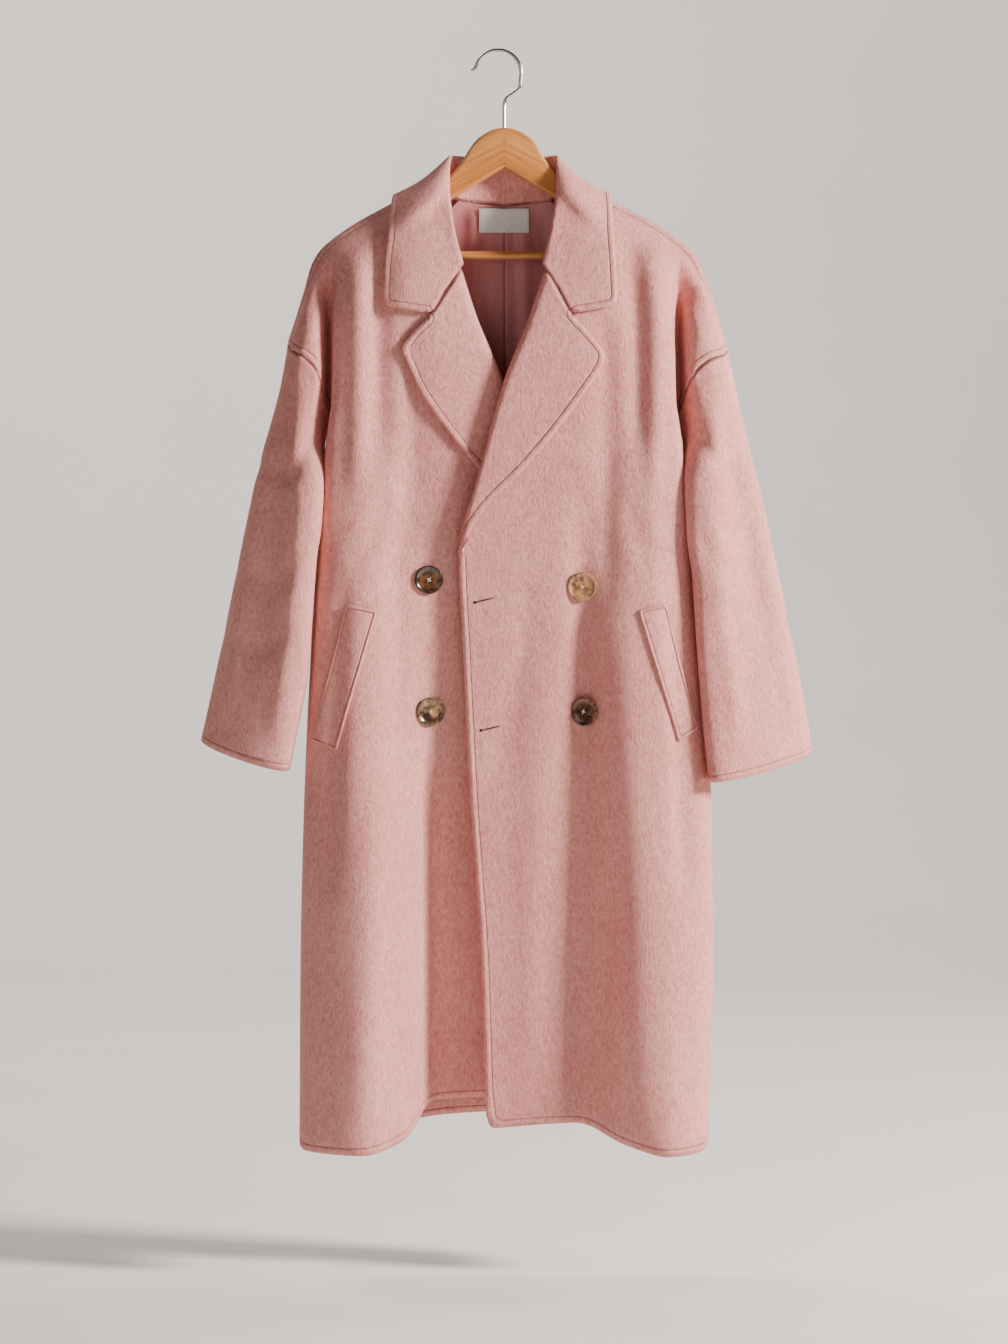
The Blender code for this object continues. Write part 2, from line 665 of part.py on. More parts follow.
def make_sleeve(side, front, back):
    """A tube from the armhole to an open cuff."""
    sign = side_sign(side)
    ahead = armhole(front)
    column = back[:, -1] if side == "left" else back[:, 0]
    behind = column[sum(ROW_STEPS[:6]) :]
    armhole_ring = np.concatenate([ahead, behind[-2:0:-1]])
    count = len(armhole_ring)
    rings = [dict(ring) for ring in SLEEVE[side]]
    rings[-1]["drop"] = CUFF_DROP
    table = [armhole_ring] + [sleeve_ring(ring, sign, count) for ring in rings]
    table = np.array(table)
    down = table[1] - table[0]
    near_underarm = (1 + np.cos(2 * np.pi * np.arange(count) / count))[:, None] / 2
    gap = 3 * SEAM_GAP + 5.0 * near_underarm**2
    table[0] += gap * down / np.linalg.norm(down, axis=1, keepdims=True)
    knots = np.mean([spacing(table[:, j]) for j in range(count)], axis=0)
    tube = through(table.reshape(len(table), -1), SLEEVE_STEPS, knots).reshape(-1, count, 3)
    faces = grid_faces(len(tube), count, around=True)
    wall(f"sleeve_{side}", tube.reshape(-1, 3), faces, CLOTH, wool())


def make_collar(trees):
    """Stand and fall in one: up from the neck seam, over the roll and down outside, all round the neck."""
    halves = {}
    for side in ("left", "right"):
        sign = side_sign(side)
        table = np.array([section_points(section, sign) for section in COLLAR])
        lean = np.array([0.35, 0.35, 0.35, 0.5, 0.75, 1.0]) * COLLAR_SHIFT[side]
        strength = np.array([1, 1, 0.8, 0.5, 0, 0])
        table[:, :, 0] += sign * strength[:, None] * lean[None, :]
        grid = surface(table, COLLAR_ROW_STEPS, COLLAR_STEPS)
        over = sum(COLLAR_STEPS[:2]) + 1
        for i in range(sum(COLLAR_ROW_STEPS[:2]) + 2):
            for j in range(over, grid.shape[1]):
                x, y, z = grid[i, j]
                lift = COLLAR_LIFT * min(1.0, 0.75 + 0.1 * (j - over))
                y_needed = on_front(trees[side], x, z, lift)[1]
                grid[i, j, 1] = min(y, y_needed) if i > sum(COLLAR_ROW_STEPS[:2]) - 1 else y_needed
        halves[side] = grid
    left, right = halves["left"], halves["right"]
    middle = (left[-1:] + right[-1:]) / 2
    grid = np.concatenate([left[:-1], middle, right[-2::-1]], axis=0)
    sheet("collar", shrunk(grid, 2 * SEAM_GAP, ("first_row", "last_row")), CLOTH, wool())


def make_lining():
    """The back lining that shows in the neck opening."""
    table = []
    for row in LINING:
        half, (side, mid, middle), high = row["half"], row["behind"], row["high"]
        outs = (-half, -half / 2, 0, half / 2, half)
        behind = (side, mid, middle, mid, side)
        highs = (high[0], high[1], high[2], high[1], high[0])
        table.append([(CENTRE_X + o, b, h) for o, b, h in zip(outs, behind, highs)])
    grid = surface(table, (2, 2, 2, 2), (3, 3, 3, 3))
    sheet("lining", grid, SATIN, satin())
    return tree_of(grid)


def make_label(tree):
    """A bare satin label on the lining, below the collar."""
    x, z = LABEL_CENTRE
    wide, tall = LABEL_SIZE
    grid = []
    for i in range(3):
        row_high = z + tall * (i / 2 - 0.5)
        places = [x + wide * (j / 6 - 0.5) for j in range(7)]
        grid.append([on_front(tree, place, row_high, SATIN + SEAM_GAP) for place in places])
    sheet("neck_label", np.array(grid), SATIN, material("label_satin", (0.7, 0.68, 0.66), 0.5))


def make_welt(side, tree):
    """A slanted band that lies on the front, made from the front's own surface."""
    sign = side_sign(side)
    corners = [np.array(corner, float) for corner in WELTS[side]]
    across, down = 5, 9
    grid = np.zeros((down + 1, across + 1, 3))
    for i in range(down + 1):
        for j in range(across + 1):
            u, v = j / across, i / down
            top = corners[0] + (corners[1] - corners[0]) * u
            foot = corners[3] + (corners[2] - corners[3]) * u
            out, high = top + (foot - top) * v
            grid[i, j] = on_front(tree, CENTRE_X + sign * out, high, WELT_LIFT)
    sheet(f"pocket_welt_{side}", grid, CLOTH, wool())


def make_button(name, side, out, high, trees):
    """A turned button with a rim, a dished middle and four holes."""
    x = CENTRE_X + side_sign(side) * out
    radius = BUTTON_DIAMETER / 2
    middle = on_front(trees[side], x, high, 0)
    ahead = on_front(trees[side], x, high, 1) - middle
    rim = []
    for i in range(16):
        angle = 2 * math.pi * i / 16
        under = on_front(trees[side], x + radius * math.cos(angle), high + radius * math.sin(angle), 0)
        rim.append(float(np.dot(under - middle, ahead)))
    place = middle + ahead * (max(0.0, *rim) + CLOTH / 2 + 2 * SEAM_GAP)
    profile = (
        (0.0, 0.0),
        (radius - 4.0, 0.0),
        (radius - 0.6, 1.6),
        (radius, 2.8),
        (radius - 1.2, BUTTON_THICK),
        (radius - 3.0, BUTTON_THICK),
        (radius - 5.0, BUTTON_THICK - 1.4),
        (0.0, BUTTON_THICK - 1.6),
    )
    shape = bmesh.new()
    edge = [shape.verts.new((r, 0, h)) for r, h in profile]
    edges = [shape.edges.new(pair) for pair in zip(edge, edge[1:])]
    bmesh.ops.spin(
        shape,
        geom=edge + edges,
        axis=(0, 0, 1),
        cent=(0, 0, 0),
        angle=2 * math.pi,
        steps=BUTTON_RINGS,
        use_merge=True,
    )
    bmesh.ops.remove_doubles(shape, verts=shape.verts, dist=0.01)
    bmesh.ops.recalc_face_normals(shape, faces=shape.faces)
    mesh = bpy.data.meshes.new(name)
    shape.to_mesh(mesh)
    shape.free()
    made = bpy.data.objects.new(name, mesh)
    bpy.context.collection.objects.link(made)
    turn = Vector(ahead).to_track_quat("Z", "Y")
    mesh.transform(turn.to_matrix().to_4x4())
    for vertex in mesh.vertices:
        vertex.co = (vertex.co + Vector(place)) * MM
    mesh.materials.append(material("horn", (0.09, 0.05, 0.03), 0.25))
    through_it = turn @ Vector((0, 0, BUTTON_THICK))
    for across, up in ((1, 1), (1, -1), (-1, 1), (-1, -1)):
        beside = turn @ Vector((BUTTON_HOLE_AT * across, BUTTON_HOLE_AT * up, 0))
        hole = Vector(place) + beside + through_it / 2
        cut(made, rod(f"{name}_hole", hole - through_it, hole + through_it, BUTTON_HOLE_SIZE / 2, 6))


def rod(name, start, end, radius, sides):
    """A plain round rod between two places, in millimetres."""
    start, end = Vector(start), Vector(end)
    shape = bmesh.new()
    bmesh.ops.create_cone(
        shape, cap_ends=True, segments=sides, radius1=radius, radius2=radius, depth=(end - start).length
    )
    mesh = bpy.data.meshes.new(name)
    shape.to_mesh(mesh)
    shape.free()
    mesh.transform((end - start).to_track_quat("Z", "Y").to_matrix().to_4x4())
    for vertex in mesh.vertices:
        vertex.co = (vertex.co + (start + end) / 2) * MM
    made = bpy.data.objects.new(name, mesh)
    bpy.context.collection.objects.link(made)
    return made


def cut(target, cutter):
    """Take the cutter's shape out of the target."""
    modifier = target.modifiers.new(f"cut_{cutter.name}", "BOOLEAN")
    modifier.object = cutter
    modifier.operation = "DIFFERENCE"
    modifier.solver = "EXACT"
    cutter.hide_render = True
    cutter.display_type = "WIRE"


# ---- the hanger ----
def hook_route():
    """The wire's middle line as x and z, from the free tip over the crown to the foot in the wood."""
    points = list(HOOK_LIP)
    start, stop = HOOK_ARC
    for i in range(1, 15):
        angle = math.radians(start + (stop - start) * i / 14)
        x = HOOK_CENTRE[0] + HOOK_RADIUS * math.cos(angle)
        z = HOOK_CENTRE[1] + HOOK_RADIUS * math.sin(angle)
        points.append((x, z))
    points += list(HOOK_BEND) + [(CENTRE_X, SHANK_FOOT)]
    return through(points, [2] * (len(points) - 1))


def make_hook():
    """The steel hook, one round wire."""
    route = hook_route()
    curve = bpy.data.curves.new("hanger_hook", "CURVE")
    curve.dimensions = "3D"
    curve.bevel_depth = HOOK_WIRE / 2 * MM
    curve.bevel_resolution = 3
    curve.use_fill_caps = True
    spline = curve.splines.new("POLY")
    spline.points.add(len(route) - 1)
    for point, (x, z) in zip(spline.points, route):
        point.co = (x * MM, 0, z * MM, 1)
    made = bpy.data.objects.new("hanger_hook", curve)
    bpy.context.collection.objects.link(made)
    curve.materials.append(material("steel", (0.7, 0.7, 0.72), 0.2, 1.0))


def make_arms():
    """Both wooden arms in one, as rings of a rounded section from end to end."""
    half = np.array(ARM_SECTIONS)
    both = np.concatenate([half[::-1] * (-1, 1, 1), half[1:]])
    rings = []
    for out, top, foot in both:
        tall = (top - foot) / 2
        thick = ARM_THICK / 2 * (1 if abs(out) < ARM_TIP else 0.8)
        corner = min(ARM_ROUND, tall - 1, thick - 0.8)
        ring = []
        for quarter in range(4):
            cx = (1, -1, -1, 1)[quarter] * (thick - corner)
            cz = (1, 1, -1, -1)[quarter] * (tall - corner)
            for step in range(4):
                angle = math.radians(90 * quarter + 30 * step)
                y = cx + corner * math.cos(angle)
                z = cz + corner * math.sin(angle)
                ring.append((CENTRE_X + out, y, (top + foot) / 2 + z))
        rings.append(ring)
    count = len(rings[0])
    points = [p for ring in rings for p in ring]
    faces = grid_faces(len(rings), count, around=True)
    last = (len(rings) - 1) * count
    faces += [tuple(range(count)), tuple(last + i for i in range(count))]
    wood = material("honey_wood", (0.68, 0.4, 0.16), 0.4)
    arms = new_object("hanger_arms", points, faces, wood)
    shank_radius = HOOK_WIRE / 2 + SEAM_GAP
    shank_top, shank_end = (CENTRE_X, 0, -80), (CENTRE_X, 0, SHANK_FOOT - 1)
    cut(arms, rod("bore_hook", shank_top, shank_end, shank_radius, 16))
    for sign in (-1, 1):
        start = (CENTRE_X + sign * BAR_LET_IN, 0, BAR_HIGH)
        end = (CENTRE_X + sign * (BAR_REACH + 0.5), 0, BAR_HIGH)
        cut(arms, rod(f"bore_bar_{sign}", start, end, BAR_DIAMETER / 2 + SEAM_GAP, 16))
    start = (CENTRE_X - BAR_REACH, 0, BAR_HIGH)
    end = (CENTRE_X + BAR_REACH, 0, BAR_HIGH)
    bar = rod("hanger_bar", start, end, BAR_DIAMETER / 2, 16)
    bar.data.shade_smooth()
    bar.data.set_sharp_from_angle(angle=math.radians(40))
    bar.data.materials.append(wood)


def main():
    for obj in list(bpy.data.objects):
        bpy.data.objects.remove(obj)
    fronts, trees = {}, {}
    for side in ("left", "right"):
        fronts[side] = front_grid(side)
        trees[side] = tree_of(fronts[side])
        make_front(side, fronts[side], trees[side])
    back = make_back(fronts)
    for side in ("left", "right"):
        make_sleeve(side, fronts[side], back)
        make_welt(side, trees[side])
    make_collar(trees)
    make_label(make_lining())
    for name, (side, out, high) in BUTTONS.items():
        make_button(name, side, out, high, trees)
    make_hook()
    make_arms()


main()
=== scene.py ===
# %% [markdown]
# # A double-breasted wool coat on a wooden hanger
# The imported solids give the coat's size and place. Everything here is built on them: fine cloth with rolled
# edges, sewing, horn buttons, a satin lining and a lacquered hanger. Lengths in the tables are millimetres;
# Blender works in metres, +Z up, and the coat faces -Y. Left and right are the wearer's, so left is at +X.

import math

import bmesh
import bpy
import numpy as np
from mathutils import Matrix, Vector
from mathutils.bvhtree import BVHTree


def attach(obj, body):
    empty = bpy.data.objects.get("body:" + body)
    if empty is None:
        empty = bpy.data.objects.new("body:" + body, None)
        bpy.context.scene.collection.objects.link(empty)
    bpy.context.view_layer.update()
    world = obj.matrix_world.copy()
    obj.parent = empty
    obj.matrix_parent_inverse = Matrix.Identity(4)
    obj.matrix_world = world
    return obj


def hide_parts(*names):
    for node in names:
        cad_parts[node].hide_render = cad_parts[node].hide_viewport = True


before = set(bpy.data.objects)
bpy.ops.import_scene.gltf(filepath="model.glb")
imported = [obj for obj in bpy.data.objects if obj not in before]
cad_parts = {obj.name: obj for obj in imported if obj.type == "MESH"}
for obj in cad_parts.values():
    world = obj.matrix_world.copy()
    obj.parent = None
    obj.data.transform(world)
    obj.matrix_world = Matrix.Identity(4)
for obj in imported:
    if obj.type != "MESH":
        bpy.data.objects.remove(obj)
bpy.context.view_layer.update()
bpy.ops.object.select_all(action="DESELECT")
MM = 0.001
print("nodes:", ", ".join(sorted(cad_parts)))

# %% [markdown]
# The hanger's middle, the cloth's thickness and the gaps between pieces come first, since every piece
# uses them. FINE says how many strips of cloth replace one strip of the solid: six keep each strip near
# 3 mm wide, enough for soft folds and for a clean line along a stitched edge.

# %% Sizes that every piece shares
CENTRE_X = 4.5
CLOTH = 2.5
SATIN = 1.0
SEAM_GAP = 0.3
LAPEL_LIFT = 6.0
COLLAR_LIFT = 7.5
FINE = 6
COLLAR_FINE = 5

# %% [markdown]
# A front panel hangs from the shoulder seam, turns round the side as a deep fold beside the sleeve,
# swells into a lobe and comes back to the front edge. Twelve sections down the side describe it: at ten
# stations each says how far the cloth lies from the middle, how far forward, and how high. A table like
# this is the flat-pattern cutter's way of holding a shape, and a curve through its numbers gives the
# cloth.

# %% Sections of the two fronts
STATIONS = ("seam", "cap", "wall_out", "fold", "wall_in", "lip", "crest", "slope", "valley", "edge")
# How many strips of cloth lie between one station and the next.
STATION_STEPS = (1, 1, 2, 2, 2, 3, 2, 3, 4)
# Where each section lies down the side of the coat, from the hem up, and the rows between sections.
ROW_STEPS = (2, 2, 2, 1, 1, 2, 2, 2, 2, 2, 2)


def height(*levels):
    """The heights of a section's ten stations, from a few: one for all, or one for each."""
    return levels * len(STATIONS) if len(levels) == 1 else levels


# Sections of the fronts, from the hem to the shoulder seam. At each station the cloth lies "out" from the
# coat's middle and "forward" of the hanger, and "high" above the origin (negative: below), in millimetres.
#   seam  cap  wall_out  fold  wall_in  lip  crest  slope  valley  edge
LEFT_FRONT = (
    # hem
    dict(
        out=(214, 223, 233, 239, 242, 236, 192, 145, 84, -21),
        forward=(-14, -12, -6, 8, 30, 64, 96, 78, 44, 44),
        high=(-1283, -1283, -1284, -1288, -1297, -1309, -1314, -1303, -1280, -1287),
    ),
    dict(
        out=(214, 224.4, 236.4, 244.4, 248.2, 241, 190, 143, 82, -27),
        forward=(-14, -12, -6, 8, 28, 58, 86, 72, 44, 42),
        high=height(-1090),
    ),
    dict(
        out=(212, 222.3, 234.6, 242.6, 246.4, 239, 184.6, 138, 78, -40),
        forward=(-14, -12, -6, 6, 24, 52, 76, 66, 45, 42),
        high=height(-900),
    ),
    dict(
        out=(205, 214, 224, 230, 232.5, 225, 178, 133, 76, -50),
        forward=(-14, -12, -7, 3, 17, 41, 66, 60, 48, 46),
        high=height(-700),
    ),
    # where the lapel starts to turn over
    dict(
        out=(200, 208, 216, 222, 224, 216, 174, 130, 78, -54.5),
        forward=(-14, -12, -7, 2, 15, 38, 60, 56, 50, 50),
        high=height(-606),
    ),
    dict(
        out=(197, 201.4, 206, 210, 212.4, 207.6, 172, 128, 78, -29),
        forward=(-13, -12, -7, 2, 17, 41, 54, 53, 51, 52),
        high=height(-508),
    ),
    # the underarm
    dict(
        out=(205.5, 205.8, 205.8, 205.5, 204.8, 202.5, 168, 126, 84, -0.5),
        forward=(-9, -8, -6, -1, 14, 38, 48, 49, 48, 48),
        high=(-446, -445, -444, -442, -438, -432, -422, -414, -408, -401),
    ),
    dict(
        out=(216, 215, 214, 209.5, 205, 201, 166, 126, 90, 29),
        forward=(14, 8, -1, -5, 6, 34, 43, 44, 44, 43),
        high=(-412, -407, -400, -391, -381, -368, -352, -340, -332, -325),
    ),
    # the collar notch
    dict(
        out=(226, 221, 216, 210, 204.5, 199, 165, 126, 92, 49),
        forward=(38, 32, 12, -6, 6, 30, 38, 38, 37, 36),
        high=(-388, -379, -367, -350, -336, -320, -294, -280, -272, -265),
    ),
    dict(
        out=(244, 235, 223, 213, 206, 199, 168, 132, 98, 68),
        forward=(38, 38, 24, 2, 6, 22, 28, 28, 27, 25),
        high=(-372, -346, -318, -298, -286, -270, -246, -231, -220, -212),
    ),
    dict(
        out=(262, 252, 238, 226, 215, 202, 172, 138, 105, 76),
        forward=(26, 26, 20, 12, 11, 14, 16, 17, 18, 18),
        high=(-365, -334, -300, -277, -258, -244, -225, -209, -193, -179),
    ),
    # the shoulder seam
    dict(
        out=(267, 257, 244, 235, 224, 208, 177, 143, 108, 80),
        forward=(1, 1, 1, 1, 1, 1, 1, 1, 1, 1),
        high=(-358, -322, -283, -258, -240, -226, -205, -187, -168, -152),
    ),
)

#   seam  cap  wall_out  fold  wall_in  lip  crest  slope  valley  edge
RIGHT_FRONT = (
    # hem
    dict(
        out=(213, 222, 232, 239, 243, 238, 169, 121, 78, -36),
        forward=(-14, -12, -6, 8, 30, 62, 102, 70, 8, 4),
        high=(-1290, -1290, -1291, -1295, -1303, -1309, -1312, -1299, -1256, -1251),
    ),
    dict(
        out=(211, 221, 231, 238, 242, 236, 170, 123, 81, -40),
        forward=(-14, -12, -6, 8, 28, 56, 91, 64, 14, 10),
        high=height(-1090),
    ),
    dict(
        out=(207, 217, 227, 234, 238, 232, 172, 126, 83, -45),
        forward=(-14, -12, -6, 6, 24, 50, 79, 59, 22, 16),
        high=height(-900),
    ),
    dict(
        out=(202, 210, 219, 226, 229, 223, 173, 127, 85, -50),
        forward=(-14, -12, -7, 4, 20, 46, 67, 53.5, 32, 22),
        high=height(-700),
    ),
    # where the lapel starts to turn over
    dict(
        out=(199, 206, 214.5, 221, 223.5, 216.5, 172, 126, 85, -54.5),
        forward=(-14, -12, -7, 3, 18, 43, 60, 50.5, 38.5, 27),
        high=height(-606),
    ),
    dict(
        out=(196, 200, 206, 211.5, 214.5, 209, 171, 126, 82, -29),
        forward=(-13, -12, -7, 2, 17, 41, 54, 48, 40, 30),
        high=height(-508),
    ),
    # the underarm
    dict(
        out=(205.5, 205.8, 206, 206, 206, 204, 168, 126, 84, 0),
        forward=(-9, -8, -6, -1, 14, 38, 47, 45, 40, 30),
        high=(-446, -445, -444, -442, -438, -432, -422, -414, -407, -400),
    ),
    dict(
        out=(216, 215, 214, 210.5, 206.5, 202, 166, 126, 90, 32),
        forward=(14, 8, -1, -5, 6, 34, 43, 43, 41, 34),
        high=(-412, -407, -400, -391, -381, -368, -352, -340, -332, -325),
    ),
    # the collar notch
    dict(
        out=(222, 219, 216, 211, 206.5, 201, 165, 126, 92, 52),
        forward=(38, 32, 12, -6, 6, 30, 38, 38, 37, 34),
        high=(-388, -379, -367, -350, -336, -320, -294, -280, -271, -263),
    ),
    dict(
        out=(239, 231, 221, 213, 206.5, 199, 168, 132, 98, 68),
        forward=(38, 38, 24, 2, 6, 22, 28, 28, 27, 25),
        high=(-369, -344, -318, -298, -286, -270, -246, -231, -220, -212),
    ),
    dict(
        out=(254, 244, 231, 221, 212, 201, 172, 138, 105, 76),
        forward=(26, 26, 20, 12, 11, 14, 16, 17, 18, 18),
        high=(-359, -330, -300, -277, -258, -244, -226, -210, -193, -179),
    ),
    # the shoulder seam
    dict(
        out=(259, 248.5, 238, 231, 221, 206, 177, 143, 108, 80),
        forward=(1, 1, 1, 1, 1, 1, 1, 1, 1, 1),
        high=(-350, -318, -283, -258, -240, -226, -206, -187, -168, -152),
    ),
)

# %% [markdown]
# The back hangs nearly flat, with two shallow flutes. It borrows the fronts' side seams and shoulder
# seams, so its table only says how the cloth runs between them. The collar stands round the back of the
# neck and falls over the shoulders; the sleeves are rings from the dropped armhole to the open cuff.

# %% Tables of the back, lining, collar, sleeves and trims
# The back hangs nearly flat. Its stations from the side seam to the middle: a share of the seam's "out",
# how far "behind" the hanger, and the "rise" above the seam. One row for each section of the fronts but
# the last, which is the shoulder seam itself.
BACK_STEPS = (5, 2, 2, 2)
BACK = (
    dict(share=(1, 0.83, 0.56, 0.3, 0), behind=(14, 27, 20, 27, 22), rise=(0, 2, 6, 12, 14)),
    dict(share=(1, 0.83, 0.56, 0.3, 0), behind=(14, 27, 20, 27, 22), rise=(0, 0, 0, 0, 0)),
    dict(share=(1, 0.83, 0.56, 0.3, 0), behind=(14, 26, 20, 26, 22), rise=(0, 0, 0, 0, 0)),
    dict(share=(1, 0.83, 0.56, 0.3, 0), behind=(14, 26, 21, 25, 22), rise=(0, 0, 0, 0, 0)),
    dict(share=(1, 0.84, 0.57, 0.3, 0), behind=(14, 25, 22, 25, 22), rise=(0, 0, 0, 0, 0)),
    dict(share=(1, 0.85, 0.58, 0.3, 0), behind=(13, 25, 23, 25, 23), rise=(0, 0, 0, 0, 0)),
    dict(share=(1, 0.86, 0.6, 0.3, 0), behind=(9, 24, 24, 26, 25), rise=(0, 10, 20, 24, 26)),
    dict(share=(1, 0.86, 0.6, 0.3, 0), behind=(20, 24, 23, 27, 26), rise=(0, 30, 60, 82, 84)),
    dict(share=(1, 0.84, 0.6, 0.32, 0), behind=(27, 20, 22, 27, 27), rise=(0, 70, 104, 128, 130)),
    dict(share=(1, 0.82, 0.59, 0.33, 0), behind=(26, 15, 19, 26, 27), rise=(0, 104, 140, 160, 160)),
    dict(share=(1, 0.82, 0.58, 0.35, 0), behind=(16, 10, 13, 19, 26), rise=(0, 122, 160, 178, 172)),
)
# The columns of the front's shoulder seam that the back's columns meet, then the back of the neck.
SHOULDER_COLUMNS = (0, 1, 2, 4, 6, 8, 11, 13, 16, 20)
NECK_BACK = ((80, 1, -152), (63, -21.5, -167), (0, -28, -178))

# The back lining that shows in the neck: half width, and how far behind the hanger, at each height.
LINING = (
    dict(half=56, behind=(13, 16.5, 18), high=(-181, -184, -186)),
    dict(half=92, behind=(16, 19, 20), high=(-215, -215, -215)),
    dict(half=140, behind=(14, 19, 21), high=(-300, -300, -300)),
    dict(half=160, behind=(15, 19, 20), high=(-420, -420, -420)),
    dict(half=165, behind=(15, 18, 19), high=(-600, -600, -600)),
)
LABEL_SIZE = (60.8, 29.2)
LABEL_CENTRE = (4.2, -200.2)

# The outer edge of each lapel: out and high, from where it turns over up to its point.
LAPEL_EDGE = {
    "left": ((-54.5, -606), (-31, -561), (29, -497), (79, -436), (106, -396), (122, -369)),
    "right": ((-54.5, -606), (-31, -561), (28, -506), (79, -443), (103, -404), (125, -359)),
}
# The lapel's top edge, from its roll to its point, through the collar notch.
LAPEL_TOP = {
    "left": ((49, -265), (65, -292.5), (81, -320.5), (96, -337), (122, -369)),
    "right": ((52, -263), (71.5, -293.5), (92, -324), (108, -339), (125, -359)),
}

# The collar, from the notch over the shoulder to the middle of the back. At each section: the foot of the
# stand, the stand, the roll, two places on the fall and its outer edge, each as out, forward and high.
#   foot  stand  roll  upper  middle  edge
COLLAR_STEPS = (1, 2, 2, 2, 3)
COLLAR_ROW_STEPS = (3, 3, 3, 3, 3)
COLLAR = (
    dict(
        out=(52.5, 49, 47, 66, 87, 140),
        forward=(29.3, 31, 38, 45, 45, 43),
        high=(-261, -260.5, -260, -288, -317.5, -309),
    ),
    dict(
        out=(71, 65, 60, 76, 100, 138),
        forward=(19.5, 20, 30, 40, 41, 37),
        high=(-210, -208, -205, -221, -246, -262),
    ),
    dict(
        out=(72.5, 69.5, 64.5, 79, 102, 134),
        forward=(9.5, 11, 16, 28, 31, 25),
        high=(-168, -165, -159, -169, -190, -214),
    ),
    dict(
        out=(76, 71, 64, 79, 100, 130),
        forward=(0, 0, 0, 0, 0, 0),
        high=(-146.5, -138, -124, -138.5, -156, -171.5),
    ),
    dict(
        out=(60, 55, 51, 60, 80, 104),
        forward=(-12.5, -11, -15, -26, -31, -31),
        high=(-163, -142, -123.5, -135, -158, -188),
    ),
    dict(
        out=(0, 0, 0, 0, 0, 0),
        forward=(-20.5, -18.5, -23, -32, -36, -37.5),
        high=(-182, -148, -123.5, -136, -162, -196),
    ),
)
# The collar sits a little towards the wearer's right: how far its outer edge is moved out.
COLLAR_SHIFT = {"left": -5.0, "right": 5.0}

# Rings of the sleeves, from just below the armhole to the cuff: the outer and inner sides as out and high,
# how far the ring reaches forward and behind the hanger, and how far forward its inner side hangs.
SLEEVE_STEPS = (2, 2, 2, 1, 1, 1, 1)
SLEEVE = {
    "left": (
        dict(outer=(276, -400), inner=(217, -474), forward=44, behind=26, turn=-2),
        dict(outer=(293, -474), inner=(218, -520), forward=45, behind=26, turn=34),
        dict(outer=(310, -552), inner=(221.5, -582), forward=42, behind=26, turn=43),
        dict(outer=(327, -632), inner=(225.5, -655), forward=40, behind=26, turn=47),
        dict(outer=(344, -708), inner=(230.5, -735), forward=40, behind=26, turn=55),
        dict(outer=(358, -775), inner=(236, -808), forward=42, behind=26, turn=58),
        dict(outer=(369.5, -840), inner=(243, -873), forward=44, behind=26, turn=60),
    ),
    "right": (
        dict(outer=(266, -394), inner=(217, -474), forward=42, behind=26, turn=0),
        dict(outer=(287, -474), inner=(217.5, -520), forward=42.5, behind=26, turn=34),
        dict(outer=(305, -560), inner=(221.5, -585), forward=41, behind=24, turn=45),
        dict(outer=(322, -640), inner=(227.5, -660), forward=40, behind=24, turn=46),
        dict(outer=(337, -708), inner=(231.5, -732), forward=40, behind=24, turn=50),
        dict(outer=(350, -768), inner=(243, -798), forward=42, behind=24, turn=48),
        dict(outer=(363, -826), inner=(256, -860), forward=44, behind=24, turn=44),
    ),
}
CUFF_DROP = 7.0  # the cuff hangs this much lower in front

# Pocket welts: their four corners on the front as out and high, from the top inner corner round.
WELTS = {
    "left": ((157.7, -671), (190, -663), (228.5, -811), (204.5, -828)),
    "right": ((151, -672), (187, -663.5), (228.5, -825), (196.5, -838.5)),
}

# Buttons: side of the coat, out and high.
BUTTONS = {
    "button_1": ("right", 90.3, -634.3),
    "button_2": ("right", 89.1, -791),
    "button_3": ("left", 92.6, -642.6),
    "button_4": ("left", 98.1, -791),
}

# %% [markdown]
# Cloth doesn't swing past the places it is pinned at, so the curves through the tables must not either. A
# cubic whose slopes are held back between its points does that. Run down the rows and then across the
# columns it gives a whole sheet, and a few rounds of averaging take away the last trace of the stations.

# %% Smooth curves and sheets through a table
def slopes(knots, values):
    run = np.diff(knots)[:, None]
    rise = np.diff(values, axis=0) / run
    result = np.zeros_like(values)
    result[0], result[-1] = rise[0], rise[-1]
    before, after = rise[:-1], rise[1:]
    w_before = 2 * run[1:] + run[:-1]
    w_after = run[1:] + 2 * run[:-1]
    same_way = before * after > 0
    safe_before = np.where(same_way, before, 1)
    safe_after = np.where(same_way, after, 1)
    mean = (w_before + w_after) / (w_before / safe_before + w_after / safe_after)
    result[1:-1] = np.where(same_way, mean, 0)
    return result


def spacing(points):
    gaps = np.linalg.norm(np.diff(points, axis=0), axis=1)
    return np.concatenate([[0], np.cumsum(np.maximum(gaps, 0.5))])


def through(points, steps, knots=None):
    """A smooth curve through points, with so many steps from each to the next."""
    points = np.asarray(points, float)
    if knots is None:
        knots = spacing(points)
    tangent = slopes(knots, points)
    result = [points[0]]
    for i, count in enumerate(steps):
        run = knots[i + 1] - knots[i]
        for t in np.arange(1, count + 1) / count:
            result.append(
                (2 * t**3 - 3 * t**2 + 1) * points[i]
                + (t**3 - 2 * t**2 + t) * run * tangent[i]
                + (3 * t**2 - 2 * t**3) * points[i + 1]
                + (t**3 - t**2) * run * tangent[i + 1]
            )
    return np.array(result)


